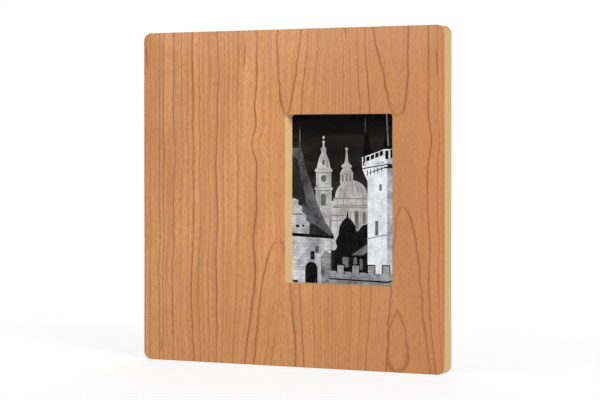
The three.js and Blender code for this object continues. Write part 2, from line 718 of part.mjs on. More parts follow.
const screwBosses = coverScrewsAt.map(([x, z]) =>
  rod(x, z, SCREW.boss, COVER.front + GLUE, COVER_INNER + PAST, 12),
);
const screwBores = coverScrewsAt.flatMap(([x, z]) => [
  rod(x, z, SCREW.hole, COVER.front - 2, COVER.back, 10),
  rod(x, z, SCREW.head + GAP, COVER.back - SCREW.seat - GAP, COVER.back + 2, 12),
]);
const BOSS = { radius: 3, bore: 1.4, depth: 6 };
const boardBosses = boardScrewsAt.map(([x, z]) =>
  rod(x, z, BOSS.radius, BOARD_BACK + GLUE, COVER_INNER + PAST, 8),
);
const boardBores = boardScrewsAt.map(([x, z]) =>
  rod(x, z, BOSS.bore, BOARD_BACK - PAST, BOARD_BACK + BOSS.depth, 8),
);
const KEY_POST = { radius: 2, inset: 3 };
const keyPosts = [keysBottom + KEY_POST.inset, keysTop - KEY_POST.inset].map((z) =>
  rod(BUTTON.x, z, KEY_POST.radius, keysBack + GLUE, COVER_INNER + PAST, 8),
);

// Rows of ventilation slots above the two halves of the electronics.
const VENT = { x: [-62, 62], low: 166, rows: 7, pitch: 6.5, length: 40, width: 2.4 };
const through = (shape) => plate(shape, COVER_INNER - 2, COVER.back + 2, 2);
const vents = VENT.x.flatMap((x) =>
  Array.from({ length: VENT.rows }, (_, i) =>
    through(outline(x, VENT.low + i * VENT.pitch, VENT.length, VENT.width, VENT.width / 2 - 0.01)),
  ),
);

// Speaker slots, each as long as the round cone allows.
const GRILLE = { pitch: 4.2, width: 1.8, radius: 11.5 };
const grilles = SPEAKER.x.flatMap((x) =>
  [-2, -1, 0, 1, 2].map((i) => {
    const offset = i * GRILLE.pitch;
    const length = 2 * Math.sqrt(GRILLE.radius ** 2 - offset ** 2);
    return through(outline(x + offset, SPEAKER.z, GRILLE.width, length, GRILLE.width / 2 - 0.01));
  }),
);

const buttonHoles = BUTTON.z.map((z) =>
  rod(BUTTON.x, z, BUTTON.radius + GAP, COVER_INNER - PAST, COVER.back + PAST, 16),
);
const HANGER_SINK = HANGER.thick + 0.2;
const hangerSeats = HANGER.x.flatMap((x) => [
  plate(
    outline(x, HANGER.z, HANGER.width + 2 * GAP, HANGER.height + 2 * GAP, HANGER.corner),
    COVER.back - HANGER_SINK,
    COVER.back + PAST,
    2,
  ),
  through(outline(x, HANGER.z, HANGER_WELL.width, HANGER_WELL.height, HANGER.corner)),
]);
const bumperSeats = BUMPER.x.map((x) =>
  rod(x, BUMPER.z, BUMPER.radius + GAP, COVER.back - BUMPER.sunk, COVER.back + 2, 16),
);

// Openings in the cover's side for the card, the plug, the power lead and the slider.
function sideHole(y, z, depth, height) {
  return box(
    [COVER.left - 3, y - depth / 2, z - height / 2],
    [SIDE_INNER + 0.1, y + depth / 2, z + height / 2],
  );
}
const { neck } = SLIDER;
const sideHoles = [
  sideHole(CARD.y + CARD.thick / 2, SIDE_PORT.card, CARD.thick + 1.4, CARD.width + 2),
  sideHole(ON_BOARD + USB.height / 2, SIDE_PORT.usb, USB.height + 0.8, USB.width + 0.8),
  sideHole(sliderY, SIDE_PORT.slider, neck.width + 2 * GAP, neck.height + SLIDER.travel + 2 * GAP),
  axle(jackY, SIDE_PORT.inlet, JACK.bore + 1.6, COVER.left - 3, SIDE_INNER + 0.1, 16),
];

const shellWithBosses = join(coverShell(), recessBlock, ...screwBosses, ...boardBosses, ...keyPosts);
const shellWithPocket = cut(shellWithBosses, recessHollow);
add(
  "rear_cover",
  cut(
    join(shellWithPocket, ...knuckles),
    hingeBore,
    ...screwBores,
    ...boardBores,
    ...vents,
    ...grilles,
    ...buttonHoles,
    ...hangerSeats,
    ...bumperSeats,
    ...sideHoles,
  ),
  PLASTIC,
  0.55,
);

// ---------------------------------------------------------------- hanger plates and bumpers
// A keyhole: a round hole for a screw head, with a narrow slot above it for the shank.
function hangerPlate(x) {
  const head = HANGER.z - KEYHOLE.below;
  const shape = outline(x, HANGER.z, HANGER.width, HANGER.height, HANGER.corner);
  const hole = new THREE.Path();
  const lean = Math.asin(KEYHOLE.slot / KEYHOLE.head);
  hole.absarc(x, head, KEYHOLE.head, Math.PI / 2 + lean, Math.PI * 2.5 - lean);
  hole.absarc(x, head + KEYHOLE.rise, KEYHOLE.slot, 0, Math.PI);
  shape.holes.push(hole);
  const back = COVER.back - GLUE;
  return plate(shape, back - HANGER.thick, back, 3);
}
const SIDES = ["left", "right"];
HANGER.x.forEach((x, i) => add(`hanger_plate_${SIDES[i]}`, hangerPlate(x), STEEL, 0.35, 0.9));

function bumper(x) {
  const seat = COVER.back - BUMPER.sunk + GLUE;
  const top = COVER.back + BUMPER.proud;
  const profile = [
    [0, seat],
    [BUMPER.radius, seat],
    [BUMPER.radius, top - 0.6],
    [BUMPER.radius - 0.6, top],
    [0, top],
  ];
  const points = profile.map(([r, y]) => new THREE.Vector2(r, y));
  return new THREE.LatheGeometry(points, 16).translate(x, 0, BUMPER.z);
}
BUMPER.x.forEach((x, i) => add(`wall_bumper_${SIDES[i]}`, bumper(x), RUBBER, 0.9));

// ---------------------------------------------------------------- folding leg
// The leg is a flat wing on an upright pin. It stands straight out from the back and folds flat
// into the pocket. A heel on its barrel meets the pocket's floor, and stops it at right angles.
function easelLeg() {
  const root = HINGE.y + LEG.root;
  const tip = HINGE.y + LEG.reach;
  const bottom = LEG.foot + GAP;
  const corners = [
    [root, bottom],
    [tip, bottom],
    [tip, bottom + LEG.tip],
    [root + LEG.top, LEG.height],
    [root, LEG.height],
  ];
  const shape = roundedPolygon(corners.map(([y, z]) => new THREE.Vector2(y, z)), 3);
  const half = LEG.thick / 2;
  const ease = 0.5;
  const blade = new THREE.ExtrudeGeometry(shape, {
    depth: LEG.thick - 2 * ease,
    bevelEnabled: true,
    bevelThickness: ease,
    bevelSize: ease,
    bevelOffset: -ease,
    bevelSegments: 1,
    curveSegments: 4,
  });
  // The section is drawn in Y and Z and its thickness runs along X.
  const upright = new THREE.Matrix4().set(0, 0, 1, HINGE.x - half + ease, 1, 0, 0, 0, 0, 1, 0, 0, 0, 0, 0, 1);
  blade.applyMatrix4(upright);
  const low = HINGE.low + HINGE.knuckle + LEG.play;
  const high = HINGE.high - HINGE.knuckle - LEG.play;
  const barrel = post(HINGE.x, HINGE.y, HINGE.barrel, low, high);
  const tongue = box([HINGE.x - half, HINGE.y, low], [HINGE.x + half, root + 1, high]);
  const heel = box([HINGE.x - half, recessFloor + GAP, low], [HINGE.x, HINGE.y, high]);
  return cut(join(blade, barrel, tongue, heel), hingeBore);
}
add("easel_leg", easelLeg(), PLASTIC, 0.55);

add(
  "leg_hinge_pin",
  post(HINGE.x, HINGE.y, HINGE.pin, HINGE.low - 1, HINGE.high + 1),
  STEEL,
  0.3,
  0.95,
);

const FOOT = { from: 30, margin: 3, overhang: 0.5, ease: 0.8 };
function legFoot() {
  const y0 = HINGE.y + FOOT.from;
  const y1 = HINGE.y + LEG.reach - FOOT.margin;
  const half = LEG.thick / 2 + FOOT.overhang;
  const section = [
    [y0, LEG.foot],
    [y0, FOOT.ease],
    [y0 + FOOT.ease, 0],
    [y1 - FOOT.ease, 0],
    [y1, FOOT.ease],
    [y1, LEG.foot],
  ];
  return strip(section, HINGE.x - half, HINGE.x + half);
}
add("leg_foot", legFoot(), RUBBER, 0.9);

export default group;
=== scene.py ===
import json
import math

import bmesh
import bpy
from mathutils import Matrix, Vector


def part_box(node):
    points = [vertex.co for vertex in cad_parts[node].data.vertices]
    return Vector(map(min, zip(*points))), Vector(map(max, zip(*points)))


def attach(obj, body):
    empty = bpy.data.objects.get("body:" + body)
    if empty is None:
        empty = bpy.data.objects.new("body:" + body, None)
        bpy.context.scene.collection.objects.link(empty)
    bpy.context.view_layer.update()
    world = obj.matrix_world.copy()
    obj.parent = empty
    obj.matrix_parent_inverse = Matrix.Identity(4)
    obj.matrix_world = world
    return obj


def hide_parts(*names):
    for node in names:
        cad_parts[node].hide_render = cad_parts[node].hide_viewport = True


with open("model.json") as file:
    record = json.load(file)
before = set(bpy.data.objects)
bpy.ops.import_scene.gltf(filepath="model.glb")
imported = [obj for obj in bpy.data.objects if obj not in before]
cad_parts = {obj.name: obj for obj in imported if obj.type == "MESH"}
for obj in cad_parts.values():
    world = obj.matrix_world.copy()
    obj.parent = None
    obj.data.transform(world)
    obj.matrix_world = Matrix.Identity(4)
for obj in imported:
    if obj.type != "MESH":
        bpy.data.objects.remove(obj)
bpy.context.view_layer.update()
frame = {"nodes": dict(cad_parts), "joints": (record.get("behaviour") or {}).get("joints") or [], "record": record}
MM = 0.001

# ---- places, taken from the frame
PANEL_LOW, PANEL_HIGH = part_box("plywood_core")
FACE_LOW, FACE_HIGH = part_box("front_veneer")
BACK_LOW, BACK_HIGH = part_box("back_veneer")
GLASS_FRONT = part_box("display_glass")[0].y
GLASS_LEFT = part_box("display_glass")[0].x
CELL_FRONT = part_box("lcd_cell")[0].y
BACK_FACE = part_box("rear_cover")[1].y
SIDE = PANEL_HIGH.x - PANEL_LOW.x
OPENINGS = {o["name"]: o["box_m"] for o in frame["record"]["physics"]["openings"]}
WINDOW_MARGIN = 1 * MM  # the stated opening stops this far inside the window's sides
(WIN_LEFT, _, WIN_LOW), (WIN_RIGHT, _, WIN_HIGH) = OPENINGS["picture_window"]
WIN_LEFT, WIN_RIGHT = WIN_LEFT - WINDOW_MARGIN, WIN_RIGHT + WINDOW_MARGIN
WIN_LOW, WIN_HIGH = WIN_LOW - WINDOW_MARGIN, WIN_HIGH + WINDOW_MARGIN
WIN_X, WIN_Z = (WIN_LEFT + WIN_RIGHT) / 2, (WIN_LOW + WIN_HIGH) / 2
WIN_WIDTH, WIN_HEIGHT = WIN_RIGHT - WIN_LEFT, WIN_HIGH - WIN_LOW
CORNER, WIN_CORNER = 7.5 * MM, 3 * MM


# ---- shader helpers
class Graph:
    """Adds nodes to one tree and links them, so that a formula reads as a few calls."""

    def __init__(self, tree):
        self.tree = tree

    def add(self, kind, **settings):
        node = self.tree.nodes.new(kind)
        for key, value in settings.items():
            setattr(node, key, value)
        return node

    def feed(self, socket, value):
        if isinstance(value, bpy.types.NodeSocket):
            self.tree.links.new(value, socket)
        elif value is not None:
            socket.default_value = value

    def fill(self, node, **values):
        """Feeds a node's sockets by name, with _ for a space, and gives back what it puts out."""
        for key, value in values.items():
            self.feed(node.inputs[key.replace("_", " ")], value)
        return node.outputs

    def math(self, operation, *values):
        node = self.add("ShaderNodeMath", operation=operation)
        for socket, value in zip(node.inputs, values):
            self.feed(socket, value)
        return node.outputs[0]

    def plus(self, a, b):
        return self.math("ADD", a, b)

    def minus(self, a, b):
        return self.math("SUBTRACT", a, b)

    def times(self, a, b, *added):
        """a times b, plus a third value where one is given."""
        return self.math("MULTIPLY_ADD" if added else "MULTIPLY", a, b, *added)

    def ramp(self, value, low, high, to_low=0.0, to_high=1.0, smooth=True):
        node = self.add("ShaderNodeMapRange", interpolation_type="SMOOTHSTEP" if smooth else "LINEAR")
        for socket, number in zip(node.inputs, (value, low, high, to_low, to_high)):
            self.feed(socket, number)
        return node.outputs[0]

    def mix(self, factor, a, b, blend="MIX"):
        node = self.add("ShaderNodeMix", data_type="RGBA", blend_type=blend)
        return self.fill(node, Factor=factor, A=a, B=b)["Result"]

    def place(self, vector, scale=(1, 1, 1), location=(0, 0, 0)):
        return self.fill(self.add("ShaderNodeMapping"), Vector=vector, Scale=scale, Location=location)[0]

    def noise(self, vector, scale, detail=2.0, roughness=0.5, distortion=0.0):
        """Soft noise; three scales stretch it along the axes."""
        if isinstance(scale, tuple):
            vector, scale = self.place(vector, scale), 1.0
        return self.fill(self.add("ShaderNodeTexNoise"), Vector=vector, Scale=scale, Detail=detail,
                         Roughness=roughness, Distortion=distortion)["Fac"]

    def voronoi(self, vector, scale, feature="F1"):
        node = self.add("ShaderNodeTexVoronoi", feature=feature)
        return self.fill(node, Vector=vector, Scale=scale)["Distance"]

    def xyz(self, vector):
        return self.fill(self.add("ShaderNodeSeparateXYZ"), Vector=vector)

    def object_point(self):
        return self.add("ShaderNodeTexCoord").outputs["Object"]

    def bump(self, height, strength, distance):
        return self.fill(self.add("ShaderNodeBump"), Height=height, Strength=strength, Distance=distance)[0]

    def use(self, group, **inputs):
        return self.fill(self.add("ShaderNodeGroup", node_tree=group), **inputs)

    def dress(self, shader, color, roughness, *relief):
        """Feeds a shader's colour and roughness, and its normal where a relief is given as bump takes it."""
        self.feed(shader["Base Color"], color)
        self.feed(shader["Roughness"], roughness)
        if relief:
            self.feed(shader["Normal"], self.bump(*relief))


def shader_group(name, inputs, outputs):
    """An empty node group; inputs and outputs map a name to the type of its socket."""
    tree = bpy.data.node_groups.new(name, "ShaderNodeTree")
    for way, sockets in (("INPUT", inputs), ("OUTPUT", outputs)):
        for key, kind in sockets.items():
            tree.interface.new_socket(key, in_out=way, socket_type="NodeSocket" + kind)
    graph = Graph(tree)
    return tree, graph, graph.add("NodeGroupInput").outputs, graph.add("NodeGroupOutput").inputs


def new_material(name, **surface):
    """A material with one Principled surface; plain values are set on the shader's own sockets."""
    material = bpy.data.materials.new(name)
    material.use_nodes = True
    graph = Graph(material.node_tree)
    shader = material.node_tree.nodes["Principled BSDF"].inputs
    for key, value in surface.items():
        shader[key.replace("_", " ")].default_value = value
    return material, graph, shader


def rgb(red, green, blue):
    """A colour given as 8-bit screen values, as the linear values that shaders take."""
    def linear(v):
        v /= 255
        return v / 12.92 if v <= 0.04045 else ((v + 0.055) / 1.055) ** 2.4
    return (linear(red), linear(green), linear(blue), 1.0)


# ---- shared surface effects
# Growth lines where they cross the sheet at mid height: place across it in mm, depth of tone, width in mm.
GROWTH_LINES = (
    (-150, 0.35, 2.4), (-145, 0.55, 2.6), (-140, 0.25, 2.0), (-135, 0.60, 2.6), (-130.5, 0.72, 2.6),
    (-125.5, 0.20, 2.0), (-119.5, 0.85, 3.0), (-114, 0.22, 2.0), (-110.5, 0.50, 2.6), (-103.5, 0.42, 2.4),
    (-98.5, 0.90, 3.4), (-91.5, 0.50, 3.0), (-86.5, 0.22, 2.4), (-81.5, 0.62, 2.6), (-77, 0.24, 2.0),
    (-73, 0.95, 3.0), (-66, 0.50, 2.6), (-61.5, 0.36, 2.0), (-57, 0.20, 2.0), (-51, 0.82, 3.2),
    (-31.5, 1.00, 4.6), (11.8, 0.85, 2.6), (25, 0.62, 3.0), (33, 0.36, 2.2), (36.5, 0.42, 1.8), (40, 0.45, 1.8),
    (44, 0.40, 1.8), (47.5, 0.48, 1.8), (51.5, 0.34, 1.8), (55, 0.44, 1.8), (59, 0.36, 1.8), (63.5, 0.46, 2.0),
    (72.5, 0.80, 2.8), (82, 1.00, 3.0), (137.5, 1.00, 3.4), (146.5, 0.62, 2.6), (151, 0.40, 2.4),
)
LINES_PER_RAMP = 6
# Where the lines are pushed sideways: middle (x, z), reach (x, z) and push to the right, all in mm.
PUSHES = (
    ((-33, 202), (15, 13), -6.5), ((-32, 236), (13, 14), -2.5), ((-33, 110), (14, 20), -3.0),
    ((-34, -4), (26, 56), -15.0), ((18, 312), (17, 60), 9.5), ((12, -4), (16, 46), 5.0),
    ((80, 312), (19, 60), -5.5), ((80, -4), (18, 46), -4.0), ((138, 205), (14, 17), 4.5),
    ((139, -4), (15, 52), 6.5), ((-119, 190), (12, 26), 2.2), ((-72, 262), (10, 16), 2.4),
    ((-75, 178), (13, 30), -2.2), ((-100, 60), (30, 40), -2.0), ((46, 312), (20, 40), -1.5),
)
# Arched lines: tip (x, z), which way the arch opens, half width and length, lean, depth of tone; all in mm.
ARCHES = (
    ((-3, 227), 1, (12, 72), 0.055, 0.80), ((-12, 113), -1, (22, 110), 0.02, 0.78),
    ((-11, 60), -1, (13, 60), 0.02, 0.32), ((-12, 30), -1, (7, 30), 0.0, 0.26),
    ((108, 226), 1, (17, 76), -0.09, 0.85), ((113, 147), -1, (20, 140), -0.035, 0.75),
    ((109, 262), 1, (8, 46), -0.06, 0.20),
)
# Short dark gum flecks: middle (x, z), length and lean.
FLECKS = (((-149, 282), 22, -0.06), ((-45, 282), 24, 0.06), ((145, 272), 24, -0.05),
          ((57, 300), 9, -0.10), ((-133, 14), 12, 0.04))
# How one growth line darkens across its width: place in widths from its sharp side, and share of its tone.
LINE_PROFILE = ((-0.9, 0), (-0.36, 0.28), (-0.17, 1), (0, 1))
SHARP_SIDE = 0.35  # how far the tone runs on past the sharp side, in mm


def hill(g, x, z, middle, reach, height):
    """A smooth hill over the sheet with its top at one place."""
    across = g.math("DIVIDE", g.minus(x, middle[0]), reach[0])
    along = g.math("DIVIDE", g.minus(z, middle[1]), reach[1])
    square = g.times(across, across, g.times(along, along))
    return g.times(g.math("EXPONENT", g.times(square, -1)), height)


def ruled_lines(g, place):
    """The growth lines across a coordinate in mm: each one darkens slowly from its left and ends sharply."""
    total = 0.0
    for start in range(0, len(GROWTH_LINES), LINES_PER_RAMP):
        batch = GROWTH_LINES[start:start + LINES_PER_RAMP]
        low, high = batch[0][0] - 6, batch[-1][0] + 2
        ramp = g.add("ShaderNodeValToRGB")
        g.feed(ramp.inputs[0], g.ramp(place, low, high, smooth=False))
        stops = ramp.color_ramp.elements
        stops[0].color = stops[1].color = (0, 0, 0, 1)
        for middle, tone, width in batch:
            for offset, share in [(part * width, share) for part, share in LINE_PROFILE] + [(SHARP_SIDE, 0)]:
                stops.new((middle + offset - low) / (high - low)).color = (tone * share,) * 3 + (1,)
        total = g.plus(total, ramp.outputs[0])
    return total


def arch_line(g, x, z, tip, opens, size, lean, tone):
    """One line that rounds a tip and runs away on both sides, as flat-sawn boards show."""
    half_width, length = size
    away = g.times(g.minus(z, tip[1]), opens)
    middle = g.times(g.minus(z, tip[1]), lean, tip[0])
    side = g.math("ABSOLUTE", g.minus(x, middle))
    spread = g.math("POWER", g.math("MAXIMUM", g.math("DIVIDE", away, length), 0), 0.42)
    beyond = g.math("MAXIMUM", g.times(away, -1.4), 0)
    gap = g.plus(g.times(spread, -half_width, side), beyond)
    line = g.times(g.math("POWER", g.ramp(gap, -3.2, -0.1), 1.6), g.ramp(gap, 0.1, 0.9, 1.0, 0.0))
    return g.times(line, tone)


def figure_group():
    """Flat-sawn cherry: growth lines that wander together, arches, an eye, fine streaks and gum flecks."""
    tree, g, given, out = shader_group(
        "cherry_figure",
        {"Point": "Vector"},
        {"Line": "Float", "Streak": "Float", "Pore": "Float", "Drift": "Float", "Fleck": "Float"},
    )
    point = given["Point"]
    x_metres, _, z_metres = g.xyz(point)
    x, z = g.times(x_metres, 1000), g.times(z_metres, 1000)

    # slow sway and short kinks, then the pushes
    sway = g.minus(g.noise(point, (16, 16, 13), 1, 0.5), 0.5)
    kink = g.minus(g.noise(point, (55, 55, 42), 2, 0.55), 0.5)
    swayed = g.times(sway, 5.5, g.times(kink, 2.6, x))
    place = swayed
    for middle, reach, push in PUSHES:
        place = g.minus(place, hill(g, x, z, middle, reach, push))
    lines = ruled_lines(g, place)
    ripple = g.minus(g.noise(g.place(point, (90, 90, 60), (2.3, 0, 0.7)), 1.0, 2, 0.6), 0.5)
    rippled = g.times(ripple, 5.0, swayed)
    uneven = g.times(ripple, 9.0, z)
    for arch in ARCHES:
        lines = g.math("MAXIMUM", lines, arch_line(g, rippled, uneven, *arch))

    # the eye: a closed ring, narrower at its top
    eye_x, eye_z, eye_width, taper = 108.5, 27, 9.5, -0.14
    lift = g.minus(z, eye_z)
    across = g.math("DIVIDE", g.minus(rippled, eye_x), g.times(lift, taper, eye_width))
    along = g.math("DIVIDE", lift, eye_z)
    ring = g.math("SQRT", g.times(across, across, g.times(along, along)))
    gap = g.times(g.minus(ring, 1), 9)
    eye = g.times(g.ramp(gap, -2.2, -0.1), g.ramp(gap, 0.1, 0.9, 1.0, 0.0))
    lines = g.math("MAXIMUM", lines, g.times(eye, 0.72))
    fade = g.ramp(g.noise(point, (70, 70, 14), 2, 0.6), 0.32, 0.60, 0.62, 1.0)
    g.feed(out["Line"], g.times(lines, fade))

    # fine upright streaks at two sizes, following the sway of the lines, and short pores
    followed = g.add("ShaderNodeCombineXYZ")
    g.feed(followed.inputs[0], g.times(place, 0.001))
    g.feed(followed.inputs[2], z_metres)
    coarse = g.noise(followed.outputs[0], (300, 1, 5), 3, 0.62)
    fine = g.noise(followed.outputs[0], (1100, 1, 40), 2, 0.6)
    g.feed(out["Streak"], g.plus(g.times(coarse, 0.6), g.times(fine, 0.4)))
    g.feed(out["Pore"], g.noise(followed.outputs[0], (1500, 1, 170), 2, 0.7))
    g.feed(out["Drift"], g.noise(point, (17, 17, 8), 2, 0.5))

    flecks = 0.0
    for (middle_x, middle_z), length, lean in FLECKS:
        rise = g.minus(z, middle_z)
        side = g.math("ABSOLUTE", g.minus(x, g.times(rise, lean, middle_x)))
        across = g.ramp(side, 0.15, 0.75, 1.0, 0.0)
        along = g.ramp(g.math("ABSOLUTE", rise), length * 0.3, length * 0.55, 1.0, 0.0)
        flecks = g.math("MAXIMUM", flecks, g.times(across, along))
    g.feed(out["Fleck"], flecks)
    return tree


def mottle_group():
    """Moulded or painted surfaces: a fine pitted texture with slow changes in tone and polish."""
    tree, g, given, out = shader_group(
        "mould_texture",
        {"Point": "Vector", "Grain": "Float", "Dark": "Color", "Light": "Color", "Smooth": "Float",
         "Rough": "Float"},
        {"Color": "Color", "Roughness": "Float", "Height": "Float"},
    )
    scaled = g.add("ShaderNodeVectorMath", operation="SCALE")
    g.feed(scaled.inputs[0], given["Point"])
    g.feed(scaled.inputs["Scale"], given["Grain"])
    pits = g.noise(scaled.outputs[0], 1.0, 2, 0.6)
    slow = g.noise(given["Point"], 38.0, 3, 0.6)
    g.feed(out["Color"], g.mix(g.ramp(slow, 0.35, 0.7), given["Dark"], given["Light"]))
    wear = g.plus(g.times(slow, 0.6), g.times(pits, 0.4))
    g.feed(out["Roughness"], g.ramp(wear, 0.3, 0.7, given["Smooth"], given["Rough"], smooth=False))
    g.feed(out["Height"], pits)
    return tree


def rolled_group():
    """Sheet metal: fine rolling lines along X and faint stains."""
    tree, g, given, out = shader_group(
        "rolled_sheet",
        {"Point": "Vector", "Dark": "Color", "Light": "Color"},
        {"Color": "Color", "Roughness": "Float", "Height": "Float"},
    )
    lines = g.noise(given["Point"], (60, 2600, 2600), 2, 0.6)
    stain = g.noise(given["Point"], 90.0, 3, 0.6)
    g.feed(out["Color"], g.mix(g.ramp(stain, 0.3, 0.7), given["Dark"], given["Light"]))
    polish = g.plus(g.times(lines, 0.5), g.times(stain, 0.5))
    g.feed(out["Roughness"], g.ramp(polish, 0.3, 0.7, 0.22, 0.42))
    g.feed(out["Height"], lines)
    return tree


FIGURE, MOTTLE, ROLLED = figure_group(), mottle_group(), rolled_group()


# ---- materials
def lacquered_cherry(name, offset=(0, 0, 0)):
    material, g, shader = new_material(name, Coat_Weight=0.15, Coat_Roughness=0.3)
    point = g.object_point()
    figure = g.use(FIGURE, Point=g.place(point, location=offset))
    x, _, z = g.xyz(point)
    base = g.mix(g.ramp(figure["Drift"], 0.34, 0.66), CHERRY["dark"], CHERRY["light"])
    heart = g.ramp(g.times(g.minus(figure["Drift"], 0.5), 0.10, x), -0.06, 0.15)
    base = g.mix(g.times(heart, 0.75), base, CHERRY["heart"])
    base = g.mix(g.ramp(figure["Streak"], 0.40, 0.62, 0.0, 0.70), base, CHERRY["streak"])
    base = g.mix(g.ramp(figure["Pore"], 0.46, 0.68, 0.0, 0.62), base, CHERRY["pore"])
    base = g.mix(g.times(figure["Line"], 0.95), base, CHERRY["line"])
    base = g.mix(g.times(figure["Fleck"], 0.75), base, CHERRY["fleck"])
    g.dress(shader, base, g.ramp(figure["Streak"], 0.3, 0.7, 0.52, 0.40),
            g.minus(figure["Streak"], g.times(figure["Pore"], 0.5)), 0.12, 0.12 * MM)
    return material


def ply_edge():
    """The cut edge of plywood: plies across the board's thickness, long grain and end grain by turns, with painted
    shade on the panel's outer edges and on the window's sides toward the bottom.
    """
    material, g, shader = new_material("ply_edge", Coat_Weight=0.1, Coat_Roughness=0.35)
    point = g.object_point()
    _, y, _ = g.xyz(point)
    plies = 7
    wander = g.minus(g.noise(point, (30, 30, 30), 1), 0.5)
    depth = g.times(wander, 0.25 * MM, g.minus(y, PANEL_LOW.y))
    layer = g.times(depth, plies / (PANEL_HIGH.y - PANEL_LOW.y))
    part = g.math("FRACT", layer)
    odd = g.math("GREATER_THAN", g.math("FRACT", g.times(layer, 0.5)), 0.5)
    long_grain = g.noise(point, (22, 1400, 22), 3, 0.6)
    end_grain = g.noise(point, (1500, 1500, 1500), 2, 0.7)
    pale = g.mix(g.ramp(long_grain, 0.3, 0.7), rgb(222, 184, 126), rgb(233, 199, 146))
    dull = g.mix(g.ramp(end_grain, 0.3, 0.7), rgb(210, 172, 113), rgb(224, 188, 133))
    color = g.mix(odd, pale, dull)
    glue = g.times(g.ramp(part, 0.0, 0.06, 1.0, 0.0), 0.4)
    x, _, z = g.xyz(point)
    outward = g.math("MAXIMUM", g.math("ABSOLUTE", x), g.math("ABSOLUTE", g.minus(z, SIDE / 2)))
    painted_edge_shade = g.ramp(outward, 0.146, 0.150)  # painted shade: the panel's outer edges are darkened, the window's sides are not
    color = g.mix(painted_edge_shade, color, g.mix(1.0, color, EDGE_SHADE, "MULTIPLY"))
    # painted shade: the window's sides darken toward the bottom, as if lit from above
    low = g.times(g.ramp(z, WIN_LOW, WIN_HIGH, 1.0, 0.3), g.minus(1, painted_edge_shade))
    color = g.mix(low, color, g.mix(1.0, color, WINDOW_SHADE, "MULTIPLY"))
    g.dress(shader, g.mix(glue, color, rgb(172, 128, 80)), g.ramp(end_grain, 0.3, 0.7, 0.5, 0.65),
            g.minus(g.times(end_grain, odd), glue), 0.25, 0.1 * MM)
    return material


def coated_glass():
    """Thin cover glass with an anti-reflection coating, so its index is near that of air."""
    material, g, shader = new_material("coated_glass", Base_Color=(0.985, 0.99, 1, 1), IOR=1.09,
                                       Transmission_Weight=1.0)
    smear = g.noise(g.object_point(), 25.0, 3, 0.6)
    g.feed(shader["Roughness"], g.ramp(smear, 0.4, 0.7, 0.0, 0.01))
    return material


def moulded(name, dark, light, smooth, rough, grain, relief, **surface):
    material, g, shader = new_material(name, **surface)
    finish = g.use(MOTTLE, Point=g.object_point(), Grain=grain, Dark=rgb(*dark), Light=rgb(*light),
                   Smooth=smooth, Rough=rough)
    g.dress(shader, finish["Color"], finish["Roughness"], finish["Height"], relief, 0.06 * MM)
    return material


def sheet_metal(name, dark, light, relief=0.15):
    material, g, shader = new_material(name, Metallic=1.0)
    finish = g.use(ROLLED, Point=g.object_point(), Dark=rgb(*dark), Light=rgb(*light))
    g.dress(shader, finish["Color"], finish["Roughness"], finish["Height"], relief, 0.03 * MM)
    return material


def solder_mask():
    """A green circuit board: paler copper tracks under the mask, and plated holes."""
    material, g, shader = new_material("solder_mask", Coat_Weight=0.5, Coat_Roughness=0.2)
    point = g.object_point()
    tracks = g.voronoi(g.place(point, (1, 0, 1)), 140.0, feature="DISTANCE_TO_EDGE")
    pads = g.voronoi(g.place(point, (1, 0, 1)), 330.0)
    base = g.mix(g.ramp(tracks, 0.03, 0.08, 1.0, 0.0), rgb(16, 74, 42), rgb(36, 112, 62))
    base = g.mix(g.ramp(pads, 0.10, 0.14, 1.0, 0.0), base, rgb(200, 190, 150))
    g.dress(shader, base, g.ramp(tracks, 0.0, 0.1, 0.3, 0.45),
            g.ramp(tracks, 0.03, 0.08, 1.0, 0.0), 0.3, 0.03 * MM)
    return material


def ribbon_film():
    """Laminated flat cable: grey conductors side by side in a white film."""
    material, g, shader = new_material("ribbon_film", Coat_Weight=0.3, Coat_Roughness=0.25)
    point = g.object_point()
    _, _, z = g.xyz(point)
    wires = g.math("FRACT", g.times(z, 1000.0))
    g.dress(shader, g.mix(g.ramp(wires, 0.35, 0.5), rgb(226, 228, 226), rgb(168, 170, 172)),
            g.ramp(g.noise(point, 200.0), 0.3, 0.7, 0.3, 0.45))
    return material


def dotted_acrylic():
    """A light guide: clear acrylic with a fine dot screen."""
    material, g, shader = new_material("dotted_acrylic", IOR=1.49, Transmission_Weight=0.75)
    dots = g.voronoi(g.place(g.object_point(), (1, 0, 1)), 700.0)
    g.dress(shader, g.mix(g.ramp(dots, 0.2, 0.3), rgb(250, 250, 250), rgb(226, 236, 240)),
            g.ramp(dots, 0.2, 0.3, 0.6, 0.05))
    return material


def pressed_cone():
    """A speaker's cone: matt, fibrous paper, nearly black."""
    material, g, shader = new_material("pressed_cone")
    fibre = g.noise(g.object_point(), 1800.0, 3, 0.7)
    g.dress(shader, g.mix(g.ramp(fibre, 0.3, 0.7), rgb(26, 26, 27), rgb(52, 51, 50)),
            g.ramp(fibre, 0.3, 0.7, 0.75, 0.95), fibre, 0.5, 0.08 * MM)
    return material
